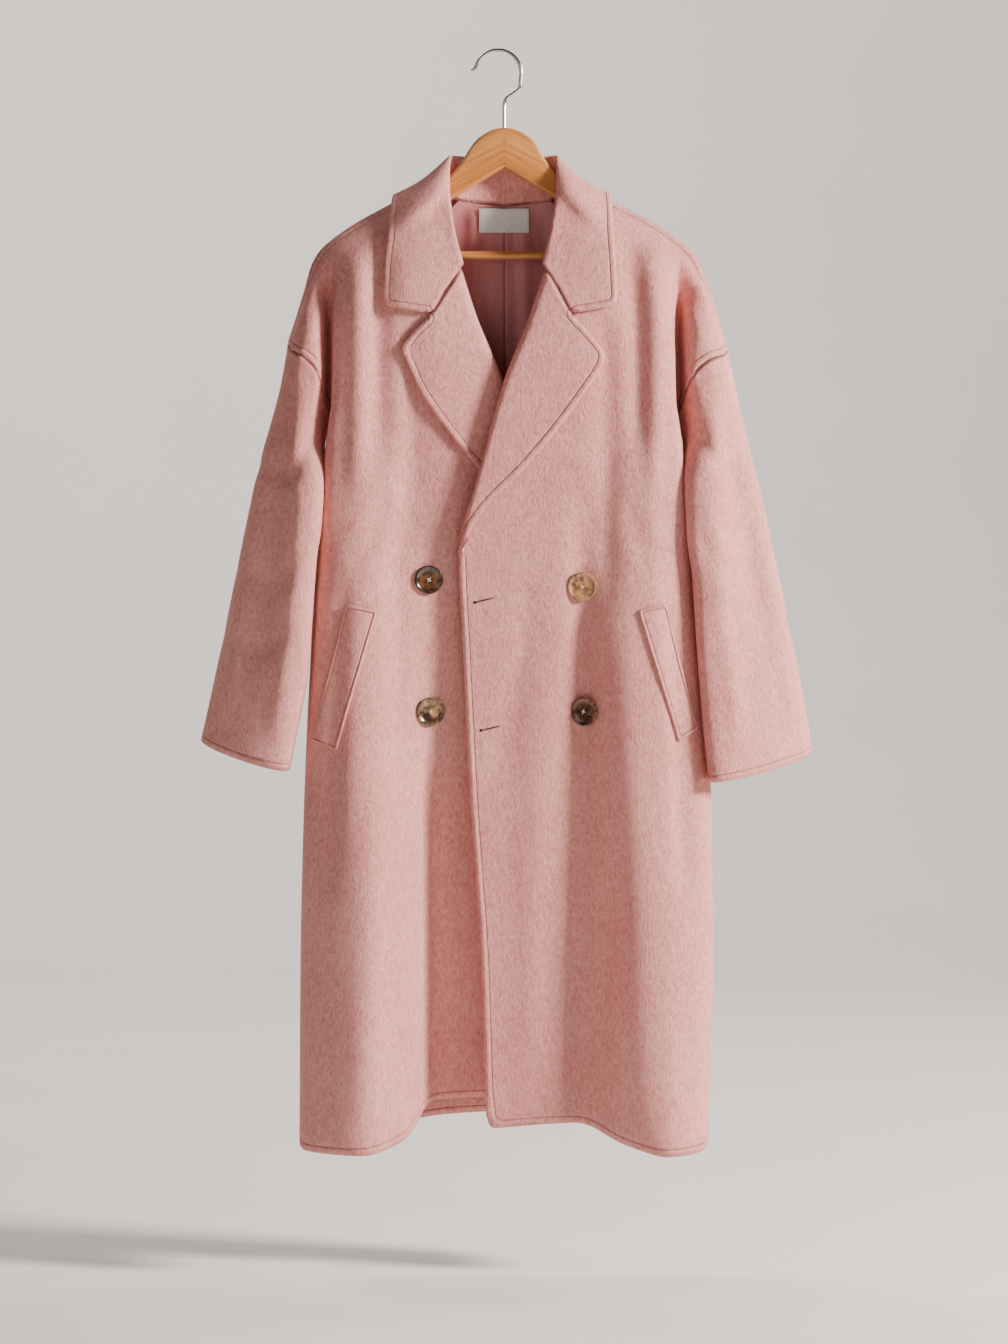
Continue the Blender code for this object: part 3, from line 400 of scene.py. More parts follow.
def surface(table, row_steps, column_steps):
    table = np.asarray(table, float)
    rows, columns = table.shape[:2]
    row_knots = np.mean([spacing(table[:, j]) for j in range(columns)], axis=0)
    column_knots = np.mean([spacing(table[i]) for i in range(rows)], axis=0)
    tall = through(table.reshape(rows, -1), row_steps, row_knots)
    tall = tall.reshape(len(tall), columns, 3).transpose(1, 0, 2)
    wide = through(tall.reshape(columns, -1), column_steps, column_knots)
    return wide.reshape(len(wide), -1, 3).transpose(1, 0, 2)


def finer(steps, times=FINE):
    return [step * times for step in steps]


def relaxed(grid, rounds, around=False, fixed=1):
    """Average each place with its neighbours, leaving the edges where they are."""
    grid = grid.copy()
    for _ in range(rounds):
        if around:
            beside = (np.roll(grid, 1, axis=1) + np.roll(grid, -1, axis=1)) / 2
        else:
            beside = grid.copy()
            beside[:, 1:-1] = (grid[:, :-2] + grid[:, 2:]) / 2
        above = grid.copy()
        above[1:-1] = (grid[:-2] + grid[2:]) / 2
        mean = (beside + above) / 2
        inner = slice(fixed, -fixed)
        if around:
            grid[inner] += 0.5 * (mean[inner] - grid[inner])
        else:
            grid[inner, inner] += 0.5 * (mean[inner, inner] - grid[inner, inner])
    return grid


def smooth_step(value, low, high):
    t = np.clip((np.asarray(value, float) - low) / (high - low), 0, 1)
    return t * t * (3 - 2 * t)


def side_sign(side):
    return 1 if side == "left" else -1


def section_points(section, sign):
    out, forward, high = (np.array(section[key], float) for key in ("out", "forward", "high"))
    return np.stack([CENTRE_X + sign * out, -forward, high], axis=1)


# %% [markdown]
# A sheet becomes cloth when it gets two skins and a rim. Double-faced wool is folded in at its edges, so
# the rim is rounded over. Each point also keeps how far it lies from a stitched edge and from a plain
# seam: the finishes read those to draw the sewing, which then follows the cloth however it hangs.

# %% From a sheet of points to a wall of cloth
FAR = 1000.0  # further than any sewing reaches
TINY = 1e-9
RIM_PULL = 0.45  # how far the skins stop short of the sheet's edge, as a share of its thickness
SEAM_BREAK = 60  # a longer step between two seam places is a jump to another seam


def grid_faces(rows, columns, start=0, around=False):
    last = columns if around else columns - 1
    faces = []
    for i in range(rows - 1):
        for j in range(last):
            k = (j + 1) % columns
            a, b = start + i * columns, start + (i + 1) * columns
            faces.append((a + j, a + k, b + k, b + j))
    return faces


def unit_rows(vectors):
    return vectors / np.maximum(np.linalg.norm(vectors, axis=-1, keepdims=True), TINY)


def crossed(points, faces):
    """The cross product of each face's two diagonals: its direction, and twice its area."""
    corners = points[np.array(faces)]
    return np.cross(corners[:, 2] - corners[:, 0], corners[:, 3] - corners[:, 1])


def normals_of(points, faces):
    normal = unit_rows(crossed(points, faces))
    total = np.zeros_like(points)
    for k in range(4):
        np.add.at(total, np.array(faces)[:, k], normal)
    return unit_rows(total)


def rim_edges(faces):
    """The edges that only one face has, each in the direction of its face."""
    edges = {}
    for face in faces:
        for a, b in zip(face, face[1:] + face[:1]):
            if (b, a) in edges:
                del edges[b, a]
            else:
                edges[a, b] = True
    return list(edges)


def mesh_object(name, points, faces, values=None):
    """A mesh object at the origin, its points given in millimetres."""
    mesh = bpy.data.meshes.new(name)
    mesh.from_pydata((np.asarray(points) * MM).tolist(), [], [tuple(f) for f in faces])
    mesh.update()
    for key, value in (values or {}).items():
        layer = mesh.attributes.new(key, "FLOAT", "POINT")
        layer.data.foreach_set("value", np.asarray(value, np.float32))
    mesh.shade_smooth()
    made = bpy.data.objects.new(name, mesh)
    bpy.context.scene.collection.objects.link(made)
    return made


def cloth(name, points, faces, thick, values, seam=()):
    """Two skins round the sheet, joined by a rounded rim. Returns the object and the sheet's area in m2."""
    points = np.asarray(points, float)
    faces = [tuple(int(i) for i in face) for face in faces]
    normal = normals_of(points, faces)
    seam = list(seam)
    for before, here, after in zip(seam[:1] + seam[:-1], seam, seam[1:] + seam[-1:]):
        if np.linalg.norm(points[after] - points[before]) > SEAM_BREAK:
            continue
        upright = np.cross(points[after] - points[before], (0, 1, 0))
        upright /= max(np.linalg.norm(upright), TINY)
        normal[here] = upright * (1 if np.dot(upright, normal[here]) > 0 else -1)
    rim = rim_edges(faces)
    outward = np.zeros_like(points)
    for a, b in rim:
        away = np.cross(points[b] - points[a], normal[a])
        length = np.linalg.norm(away)
        if length > TINY:
            outward[a] += away / length
            outward[b] += away / length
    length = np.linalg.norm(outward, axis=1, keepdims=True)
    outward = np.where(length > TINY, outward / np.maximum(length, TINY), 0)
    pulled = points - outward * thick * RIM_PULL
    edge_points = sorted({i for pair in rim for i in pair})
    count = len(points)
    middle = {i: 2 * count + k for k, i in enumerate(edge_points)}
    skins = np.concatenate([pulled + normal * thick / 2, pulled - normal * thick / 2, points[edge_points]])
    whole = faces + [tuple(i + count for i in reversed(face)) for face in faces]
    for a, b in rim:
        whole.append((b, a, middle[a], middle[b]))
        whole.append((middle[b], middle[a], a + count, b + count))
    copied = {key: np.concatenate([value, value, value[edge_points]]) for key, value in values.items()}
    made = mesh_object(name, skins, whole, copied)
    area = np.linalg.norm(crossed(points, faces), axis=1).sum() / 2 * MM * MM
    print(f"{name}: {len(whole)} faces, {area:.3f} m2 of cloth")
    return made, area


def along_rows(grid):
    """How far each place lies from the first column, measured along its row."""
    gaps = np.linalg.norm(np.diff(grid, axis=1), axis=2)
    return np.concatenate([np.zeros((len(grid), 1)), np.cumsum(gaps, axis=1)], axis=1)


def along_columns(grid):
    return along_rows(grid.transpose(1, 0, 2)).T


def rounded_corner(grid, radius, first_row, first_column):
    """Round off one corner of a sheet, sliding its points along the cloth."""
    work = grid[:: 1 if first_row else -1, :: 1 if first_column else -1]
    a, b = along_rows(work), along_columns(work)
    near = (a < radius) & (b < radius)
    u, v = np.clip(1 - a / radius, 0, 1), np.clip(1 - b / radius, 0, 1)
    across = radius * (u - u * np.sqrt(1 - v * v / 2))
    along = radius * (v - v * np.sqrt(1 - u * u / 2))
    run_across = unit_rows(np.gradient(work, axis=1))
    run_along = unit_rows(np.gradient(work, axis=0))
    moved = work + (run_across * across[..., None] + run_along * along[..., None]) * near[..., None]
    work[...] = moved
    return grid


def distance_to(points, line):
    """How far each point lies from a line of places, in millimetres."""
    points, line = np.asarray(points, float), np.asarray(line, float)
    best = np.full(len(points), np.inf)
    for a, b in zip(line[:-1], line[1:]):
        run = b - a
        share = np.clip((points - a) @ run / max(run @ run, TINY), 0, 1)
        best = np.minimum(best, np.linalg.norm(points - a - share[:, None] * run, axis=1))
    return best


def distance_to_any(points, *lines):
    return np.minimum.reduce([distance_to(points, line) for line in lines])


# %% [markdown]
# Wool this heavy folds softly: long troughs and ridges that fade at both ends, never two alike. Each is
# given as a line on the front view with a width and a depth, and the cloth is moved along its
# own normal by that much, so both skins move together and the wall keeps its thickness.

# %% Soft folds, given one by one
SHORT_FOLD = 60  # a fold less tall than this keeps its depth from end to end
FADE_START, FADE_END, FADE_MORE = 0.3, 0.62, 20  # where a taller one fades, from its middle outwards
FAR_IN_FRONT, NEAR_IN_FRONT = -400, -45

# Each fold: which piece, the line as out and high, its half width, and its depth (a trough is negative).
FOLDS = {
    "front_left": (
        (((150, -235), (158, -330), (160, -470)), 16, -7.0),
        (((178, -250), (180, -360), (178, -520)), 13, 5.0),
        (((120, -330), (124, -430), (120, -560), (122, -660)), 17, -6.0),
        (((94, -540), (92, -760), (90, -1000), (92, -1280)), 17, -8.0),
        (((140, -640), (150, -850), (158, -1050), (160, -1270)), 24, 6.0),
        (((196, -640), (206, -800), (214, -1000)), 12, -4.0),
        (((118, -1000), (116, -1280)), 12, -4.0),
        (((44, -760), (36, -980), (32, -1240)), 22, 4.0),
        (((30, -640), (22, -720), (-10, -860)), 15, -2.2),
        (((150, -560), (168, -600), (190, -616)), 9, -3.0),
        (((205, -440), (208, -510), (215, -600)), 13, 4.0),
    ),
    "front_right": (
        (((146, -240), (150, -340), (148, -480)), 17, -7.5),
        (((172, -262), (170, -380), (174, -520)), 13, 5.0),
        (((112, -330), (110, -450), (112, -600)), 18, -5.5),
        (((60, -470), (58, -600), (62, -760)), 22, 4.0),
        (((126, -560), (124, -700), (120, -900)), 17, -6.0),
        (((190, -650), (200, -800), (210, -1000)), 13, -4.5),
        (((20, -700), (14, -900), (8, -1150)), 24, 3.0),
        (((150, -900), (154, -1080), (160, -1260)), 20, 5.0),
        (((90, -860), (86, -1080), (88, -1290)), 14, -6.0),
        (((142, -545), (158, -590), (178, -612)), 9, -3.0),
        (((206, -440), (208, -500), (214, -580)), 13, 3.0),
    ),
    "back": (
        (((-120, -330), (-128, -600), (-140, -1100)), 26, -6.0),
        (((128, -320), (134, -620), (150, -1150)), 28, -6.0),
        (((-60, -420), (-56, -700), (-66, -1200)), 24, 5.0),
        (((52, -400), (62, -760), (60, -1240)), 24, 5.0),
        (((4, -260), (2, -700), (0, -1240)), 18, 1.5),
        (((-176, -460), (-186, -700), (-196, -1180)), 16, 4.0),
        (((180, -480), (190, -740), (200, -1160)), 16, 4.0),
        (((-206, -440), (-208, -500), (-214, -580)), 13, 3.0),
        (((205, -440), (208, -510), (215, -600)), 13, 4.0),
    ),
    "sleeve_left": (
        (((262, -420), (286, -560), (306, -700)), 16, -6.0),
        (((288, -470), (318, -620), (346, -800)), 13, 4.0),
        (((244, -540), (258, -660), (276, -820)), 13, 4.5),
        (((236, -470), (262, -500), (286, -486)), 11, -4.0),
        (((242, -600), (266, -626), (300, -612)), 12, -3.6),
        (((268, -690), (300, -706), (330, -690)), 14, -3.0),
        (((213, -470), (214, -530), (222, -610)), 12, 6.5),
    ),
    "sleeve_right": (
        (((258, -410), (276, -560), (290, -720)), 16, -6.0),
        (((284, -470), (308, -620), (330, -790)), 13, 4.2),
        (((240, -540), (250, -660), (268, -810)), 12, 4.2),
        (((234, -476), (256, -510), (284, -500)), 11, -4.2),
        (((244, -610), (270, -640), (300, -628)), 12, -3.8),
        (((262, -700), (296, -720), (326, -706)), 14, -3.2),
        (((213, -470), (215, -520), (221, -590)), 12, 4.5),
    ),
}


def folded(name, points, normal, sign, only=None):
    """Move points along their normals by the folds of a piece."""
    flat = points.reshape(-1, 3)
    out = (flat[:, 0] - CENTRE_X) * sign
    place = np.stack([out, np.zeros(len(flat)), flat[:, 2]], axis=1)
    moved = np.zeros(len(flat))
    for line, wide, deep in FOLDS.get(name, ()):
        line = through([(o, 0.0, h) for o, h in line], [4] * (len(line) - 1))
        away = distance_to(place, line) / wide
        high = flat[:, 2]
        top, foot = line[0][2], line[-1][2]
        tall = abs(top - foot)
        fade = smooth_step(np.abs(high - (top + foot) / 2), tall * FADE_END + FADE_MORE, tall * FADE_START)
        if tall < SHORT_FOLD:
            fade = np.ones(len(flat))
        moved += deep * np.exp(-(away**2)) * fade
    if only is not None:
        moved = moved * only
    return points + (normal.reshape(-1, 3) * moved[:, None]).reshape(points.shape)


def tree_of(grid):
    rows, columns = grid.shape[:2]
    return BVHTree.FromPolygons([Vector(p) for p in grid.reshape(-1, 3)], grid_faces(rows, columns))


def on_front(tree, x, z, lift):
    """The place that lies the lift in front of a sheet at this x and z."""
    place, normal, _, _ = tree.ray_cast(Vector((x, FAR_IN_FRONT, z)), Vector((0, 1, 0)))
    if place is None:
        place, normal, _, _ = tree.find_nearest(Vector((x, NEAR_IN_FRONT, z)))
    if normal.y > 0:
        normal = -normal
    return np.array(place + normal * lift)


# %% [markdown]
# The fronts are cut in one with their lapels. The lapel turns over along the roll line, stands about six
# millimetres off the front there, and lies nearly flat further out. Its outline is a short row of places
# from the break up to the point, and its top edge bends through the notch below the collar.

# %% The fronts, with their lapels turned back
ROLL_ROWS = (sum(ROW_STEPS[:4]), sum(ROW_STEPS[:8]))
UNDERARM_ROW = sum(ROW_STEPS[:6]) * FINE
ROLL_ROUND = 14.0  # the width over which the cloth turns at the roll
LAPEL_SPRING = 0.9  # how much further the lapel stands off its front past the roll
SPRING_WIDTH = 60  # and the width over which it does
LAPEL_STRIPS = 48
PANEL_PASSES = 14  # how often a panel's points are evened out
TOP_DRAWN_IN = (4.8, -6.0)  # how far the lapel's top corner is drawn across and forward, under the collar
GORGE_SHARE = 0.5  # the share of the lapel's top that is sewn to the collar
FREE_FROM, FREE_TO = 4, 40  # folds grow from nothing to their full height over this way from an edge
HEM_CORNER, LAPEL_CORNER = 12.0, 9.0  # the rounding of the corners


def outline_curve(points, count):
    fine = through(points, [12] * (len(points) - 1))
    along = spacing(fine)
    at = np.linspace(0, along[-1], count)
    return np.stack([np.interp(at, along, fine[:, k]) for k in range(2)], axis=1)


def shrunk(grid, gap, sides):
    grid = grid.copy()
    ends = {"first": (0, 1), "last": (-1, -2)}
    for kind, lines in {"row": grid, "column": grid.transpose(1, 0, 2)}.items():
        for end, (edge, inner) in ends.items():
            if f"{end}_{kind}" in sides:
                along = lines[inner] - lines[edge]
                lines[edge] += gap * along / np.linalg.norm(along, axis=1, keepdims=True)
    return grid


def front_grid(side):
    sections = LEFT_FRONT if side == "left" else RIGHT_FRONT
    table = [section_points(section, side_sign(side)) for section in sections]
    grid = relaxed(surface(table, finer(ROW_STEPS), finer(STATION_STEPS)), PANEL_PASSES)
    rows, columns = grid.shape[:2]
    faces = grid_faces(rows, columns)
    normal = normals_of(grid.reshape(-1, 3), faces)
    from_edge = np.minimum(along_columns(grid[::-1])[::-1], along_rows(grid))
    free = smooth_step(from_edge, FREE_FROM, FREE_TO).reshape(-1)
    facing = normal * (1 if np.mean(normal[:, 1]) < 0 else -1)
    return folded(f"front_{side}", grid, facing, side_sign(side), only=free)


def lapel_points(side, grid, tree):
    """The turned-back cloth as a grid: one strip beside the roll after another, out to the edge."""
    sign = side_sign(side)
    first, last = (row * FINE for row in ROLL_ROWS)
    roll = grid[first : last + 1, -1]
    count = len(roll)
    outer = outline_curve(LAPEL_EDGE[side], count)
    top = outline_curve(through(LAPEL_TOP[side], [8] * 4), LAPEL_STRIPS + 1)
    strips = [roll.copy()]
    for j in range(1, LAPEL_STRIPS + 1):
        share = j / LAPEL_STRIPS
        strip = []
        for i in range(count):
            up = i / (count - 1)
            base = np.array([sign * (roll[i, 0] - CENTRE_X), roll[i, 2]])
            straight = base + (outer[i] - base) * share
            bend = top[j] - (top[0] + (top[-1] - top[0]) * share)
            place = straight + bend * up**3
            away = np.linalg.norm(place - base)
            ease = min(1.0, away / ROLL_ROUND)
            lift = LAPEL_LIFT * math.sqrt(max(0.0, 1 - (1 - ease) ** 2))
            lift += LAPEL_SPRING * min(1.0, away / SPRING_WIDTH)
            strip.append(on_front(tree, CENTRE_X + sign * place[0], place[1], lift))
        in_across, in_front = TOP_DRAWN_IN
        strip[0] = np.array(roll[0]) + np.array([sign * in_across * share, in_front * share, 0.0])
        strips.append(np.array(strip))
    grid = rounded_corner(np.array(strips), LAPEL_CORNER, False, False)
    smooth = relaxed(grid, 10)
    smooth[0] = grid[0]
    return smooth


def make_front(side):
    grid = front_grid(side)
    tree = tree_of(grid)
    grid = shrunk(grid, SEAM_GAP, ("last_row", "first_column"))
    grid = rounded_corner(grid, HEM_CORNER, True, False)
    rows, columns = grid.shape[:2]
    lapel = lapel_points(side, grid, tree)
    faces = grid_faces(rows, columns)
    points = list(grid.reshape(-1, 3))
    first = ROLL_ROWS[0] * FINE
    strips = [[(first + i) * columns + columns - 1 for i in range(lapel.shape[1])]]
    for strip in lapel[1:]:
        strips.append(list(range(len(points), len(points) + len(strip))))
        points.extend(strip)
    for a, b in zip(strips, strips[1:]):
        for i in range(len(a) - 1):
            faces.append((a[i], b[i], b[i + 1], a[i + 1]))
    panel = grid.reshape(-1, 3)
    hem, free_edge, shoulder = grid[0], grid[: first + 1, -1], grid[-1]
    side_seam, armhole = grid[:UNDERARM_ROW, 0], grid[UNDERARM_ROW:, 0]
    stitched = distance_to_any(panel, hem[::3], free_edge[::3], shoulder[::3], armhole[::3])
    seam = distance_to(panel, side_seam[::3])
    turned = lapel[1:].reshape(-1, 3)
    gorge_end = int(LAPEL_STRIPS * GORGE_SHARE)
    lapel_edge = distance_to_any(turned, lapel[-1][::2], lapel[gorge_end:, -1][::2])
    gorge = distance_to(turned, lapel[: gorge_end + 1, -1][::2])
    values = {
        "stitched": np.concatenate([stitched, lapel_edge]),
        "seam": np.concatenate([seam, gorge]),
    }
    shoulder_row = list(range((rows - 1) * columns, rows * columns))
    made, area = cloth(f"coat_front_{side}", points, faces, CLOTH, values, shoulder_row)
    return made, area, grid, tree


pieces = {}
fronts, trees, areas = {}, {}, {}
for side in ("left", "right"):
    pieces[f"front_{side}"], areas[f"front_{side}"], fronts[side], trees[side] = make_front(side)

# %% [markdown]
# The back is one panel between the two side seams. Its rows start from the fronts' own edges, so the
# seams close; the difference between its own curve and the seam is spread over the cloth beside it.

# %% The back
SEAM_REACH = 2 * FINE  # how many rows or columns share the move of an edge onto its seam
CENTRE_REACH = 10 * FINE


def blended_edge(grid, edge, reach, row=None, column=None):
    """Bring one edge of a sheet onto a line, sharing the move with the rows or columns beside it."""
    if row is not None:
        delta = edge - grid[row]
        for k in range(reach):
            index = k if row == 0 else -1 - k
            grid[index] += delta * (1 - k / reach) ** 2
    else:
        delta = edge - grid[: len(edge), column]
        for k in range(reach):
            index = k if column == 0 else -1 - k
            grid[: len(edge), index] += delta * (1 - k / reach) ** 2
    return grid


def back_half(side):
    sign = side_sign(side)
    sections = LEFT_FRONT if side == "left" else RIGHT_FRONT
    table = []
    for row, section in zip(BACK, sections[:-1]):
        out = np.array(row["share"]) * section["out"][0]
        high = section["high"][0] + np.array(row["rise"], float)
        behind = np.array(row["behind"], float)
        table.append(np.stack([CENTRE_X + sign * out, behind, high], axis=1))
    neck = through(NECK_BACK, finer((2, 3)))
    neck = np.stack([CENTRE_X + sign * neck[:, 0], -neck[:, 1], neck[:, 2]], axis=1)
    front = fronts[side]
    count = (len(SHOULDER_COLUMNS) - 1) * FINE + 1
    coarse = np.interp(np.arange(count) / FINE, range(len(SHOULDER_COLUMNS)), SHOULDER_COLUMNS)
    at, columns = coarse * FINE, np.arange(front.shape[1])
    shoulder = np.stack([np.interp(at, columns, front[-1, :, k]) for k in range(3)], axis=1)
    last = [shoulder[0], shoulder[5 * FINE], shoulder[7 * FINE], neck[0], neck[-1]]
    table.append(np.array(last))
    half = surface(table, finer(ROW_STEPS), finer(BACK_STEPS[:3] + (5,)))
    half = relaxed(half, PANEL_PASSES)
    half = blended_edge(half, np.concatenate([shoulder, neck[1:]]), SEAM_REACH, row=-1)
    return blended_edge(half, front[: UNDERARM_ROW + FINE, 0], SEAM_REACH, column=0)


halves = {side: back_half(side) for side in ("left", "right")}
centre = (halves["left"][:, -1] + halves["right"][:, -1]) / 2
for half in halves.values():
    blended_edge(half, centre, CENTRE_REACH, column=-1)
back_grid = np.concatenate([halves["right"], halves["left"][:, -2::-1]], axis=1)
back_grid = relaxed(back_grid, 6)
rows, columns = back_grid.shape[:2]
normal = normals_of(back_grid.reshape(-1, 3), grid_faces(rows, columns))
normal *= 1 if np.mean(normal[:, 1]) > 0 else -1
inside = smooth_step(np.minimum(along_rows(back_grid), along_rows(back_grid[:, ::-1])[:, ::-1]), 4, 60)
back_grid = folded("back", back_grid, normal, 1, only=inside.reshape(-1))
back_grid = shrunk(back_grid, SEAM_GAP, ("last_row", "first_column", "last_column"))
flat_back = back_grid.reshape(-1, 3)
armholes = [back_grid[UNDERARM_ROW:, column][::3] for column in (0, -1)]
side_seams = [back_grid[:UNDERARM_ROW, column][::3] for column in (0, -1)]
stitched = distance_to_any(flat_back, back_grid[0][::3], *armholes)
seam = distance_to_any(flat_back, back_grid[-1][::3], *side_seams)
across = (len(SHOULDER_COLUMNS) - 1) * FINE + 1
top = (rows - 1) * columns
shoulders = list(range(top, top + across)), list(range(top + columns - across, top + columns))
pieces["back"], areas["back"] = cloth(
    "coat_back",
    flat_back,
    grid_faces(rows, columns),
    CLOTH,
    {"stitched": stitched, "seam": seam},
    shoulders[0] + shoulders[1],
)

# %% [markdown]
# A sleeve is a tube. Its first ring is the armhole itself, half on the front and half on the back, and
# each later ring is two half ovals that meet at the inner and outer sides. The cuff hangs a little lower
# in front.

# %% The sleeves
UNDERARM_EASE = 1.5  # how much wider the seam's gap is at the underarm than at the shoulder
FACING_FROM, FACING_TO = -0.2, 0.4  # folds lie where the cloth faces forward


def sleeve_ring(ring, sign, count):
    outer, inner = np.array(ring["outer"], float), np.array(ring["inner"], float)
    points = []
    for i in range(count):
        angle = 2 * math.pi * i / count
        share = (1 - math.cos(angle)) / 2
        out, high = inner + (outer - inner) * share
        reach = ring["forward"] if angle < math.pi else ring["behind"]
        forward = ring["turn"] * (1 - share) ** 2 + reach * math.sin(angle)
        high -= ring.get("drop", 0) * max(0.0, math.sin(angle))
        points.append((CENTRE_X + sign * out, -forward, high))
    return points


def make_sleeve(side):
    sign = side_sign(side)
    front = fronts[side]
    ahead = front[UNDERARM_ROW:, 0]
    behind = back_grid[UNDERARM_ROW:, -1 if side == "left" else 0]
    armhole_ring = np.concatenate([ahead, behind[-2:0:-1]])
    count = len(armhole_ring)
    rings = [dict(ring) for ring in SLEEVE[side]]
    rings[-1]["drop"] = CUFF_DROP
    table = np.array([armhole_ring] + [sleeve_ring(ring, sign, count) for ring in rings])
    down = table[1] - table[0]
    near_underarm = (1 + np.cos(2 * np.pi * np.arange(count) / count))[:, None] / 2
    gap = 2 * SEAM_GAP + UNDERARM_EASE * near_underarm**2
    table[0] += gap * down / np.linalg.norm(down, axis=1, keepdims=True)
    knots = np.mean([spacing(table[:, j]) for j in range(count)], axis=0)
    tube = through(table.reshape(len(table), -1), finer(SLEEVE_STEPS), knots).reshape(-1, count, 3)
    tube = relaxed(tube, PANEL_PASSES, around=True)
    faces = grid_faces(len(tube), count, around=True)
    flat = tube.reshape(-1, 3)
    normal = normals_of(flat, faces)
    centre_line = np.repeat(tube.mean(axis=1), count, axis=0)
    if np.mean(np.sum(normal * (flat - centre_line), axis=1)) < 0:
        normal = -normal
    facing = smooth_step(-normal[:, 1], FACING_FROM, FACING_TO)
    facing = facing * smooth_step(along_columns(tube).reshape(-1), FREE_FROM, FREE_TO)
    tube = folded(f"sleeve_{side}", tube, normal, sign, only=facing)
    flat = tube.reshape(-1, 3)
    cuff = np.concatenate([tube[-1], tube[-1, :1]])
    top_ring = np.concatenate([tube[0], tube[0, :1]])
    values = {
        "stitched": distance_to(flat, cuff[::2]),
        "seam": distance_to(flat, top_ring[::2]),
    }
    return cloth(f"coat_sleeve_{side}", flat, faces, CLOTH, values)


for side in ("left", "right"):
    pieces[f"sleeve_{side}"], areas[f"sleeve_{side}"] = make_sleeve(side)

# %% [markdown]
# The collar's stand rises from the neck seam inside, rolls over and falls outside. It is one sheet from
# notch to notch. Where it falls over the fronts it is held a set distance off them, so it never sinks
# in.

# %% The collar
STAND_DROP = 12.0  # the stand's foot hangs this much lower behind the neck, so that it ends in one arc
STAND_DROP_WIDE = 1.8  # over this many rows of the table
COLLAR_CORNER = 9.0
NOTCH_SHARE = 0.72  # how far across the collar its end stays sewn to the lapel


def collar_half(side):
    sign = side_sign(side)
    table = np.array([section_points(section, sign) for section in COLLAR])
    lean = np.array([0.35, 0.35, 0.35, 0.5, 0.75, 1.0]) * COLLAR_SHIFT[side]
    strength = np.array([1, 1, 0.8, 0.5, 0, 0])
    table[:, :, 0] += sign * strength[:, None] * lean[None, :]
    grid = surface(table, finer(COLLAR_ROW_STEPS, COLLAR_FINE), finer(COLLAR_STEPS, COLLAR_FINE))
    over = sum(COLLAR_STEPS[:2]) + 1
    shoulder = sum(COLLAR_ROW_STEPS[:2])
    row, column = np.indices(grid.shape[:2]) / COLLAR_FINE
    behind_neck = np.exp(-(((row - sum(COLLAR_ROW_STEPS[:4])) / STAND_DROP_WIDE) ** 2))
    grid[:, :, 2] -= STAND_DROP * behind_neck * np.clip(1 - column / COLLAR_STEPS[0], 0, 1)
    for i in range(grid.shape[0]):
        for j in range(grid.shape[1]):
            row, column = i / COLLAR_FINE, j / COLLAR_FINE
            if row > shoulder + 1 or column < over - 1:
                continue
            x, y, z = grid[i, j]
            lift = COLLAR_LIFT * min(1.0, 0.75 + 0.1 * (column - over))
            needed = on_front(trees[side], x, z, lift)[1]
            held = min(y, needed) if row > shoulder - 1 else needed
            part = smooth_step(column, over - 1, over) * smooth_step(row, shoulder + 1, shoulder + 0.4)
            grid[i, j, 1] = y + (held - y) * part
    return grid


left_half, right_half = collar_half("left"), collar_half("right")
collar_grid = np.concatenate([left_half[:-1], (left_half[-1:] + right_half[-1:]) / 2, right_half[-2::-1]])
collar_grid = relaxed(collar_grid, 12)
collar_grid = shrunk(collar_grid, 2 * SEAM_GAP, ("first_row", "last_row"))
for first_row in (True, False):
    collar_grid = rounded_corner(collar_grid, COLLAR_CORNER, first_row, False)
rows, columns = collar_grid.shape[:2]
flat = collar_grid.reshape(-1, 3)
notch = int(columns * NOTCH_SHARE)
free_ends = [collar_grid[row, notch:][::2] for row in (0, -1)]
sewn_ends = [collar_grid[row, : notch + 1][::2] for row in (0, -1)]
stitched = distance_to_any(flat, collar_grid[:, -1][::2], *free_ends)
seam = distance_to_any(flat, collar_grid[:, 0][::2], *sewn_ends)
pieces["collar"], areas["collar"] = cloth(
    "coat_collar", flat, grid_faces(rows, columns), CLOTH, {"stitched": stitched, "seam": seam}
)

# %% [markdown]
# The lining is satin, cut a little wider than the wool so that it never pulls: the extra lies in soft
# upright pleats under the neck. It has a seam down the middle of the back. The label is a ribbon sewn on
# at its ends.

# %% The lining and the neck label
LINING_RISE = 3.6  # its top edge covers the foot of the collar's stand


def lining_table():
    table = []
    for row in LINING:
        half, (side, mid, middle), high = row["half"], row["behind"], row["high"]
        outs = (-half, -half / 2, 0, half / 2, half)
        behind = (side, mid, middle, mid, side)
        highs = (high[0], high[1], high[2], high[1], high[0])
        table.append([(CENTRE_X + o, b, h) for o, b, h in zip(outs, behind, highs)])
    return table


def lining_grid():
    table = lining_table()
    table[0] = [(x, y, z + LINING_RISE) for x, y, z in table[0]]
    grid = surface(table, (26, 30, 24, 20), (44, 44, 44, 44))
    x, z = grid[:, :, 0] - CENTRE_X, grid[:, :, 2]
    below = smooth_step(-z, 181, 200)
    fades = 1 - 0.55 * smooth_step(-z, 230, 420)
    waves = 0.9 * np.sin(x / 5.1 + 0.7 + z / 210) + 0.7 * np.sin(x / 8.3 + 2.1)
    waves = waves + 0.4 * np.sin(x / 3.1 + z / 90)
    beside_seam = 1 - np.exp(-((x / 5.0) ** 2))
    grid[:, :, 1] += 1.15 * waves * below * fades * beside_seam
    grid[:, :, 1] += 1.4 * np.exp(-((x / 1.4) ** 2)) * below
    return grid


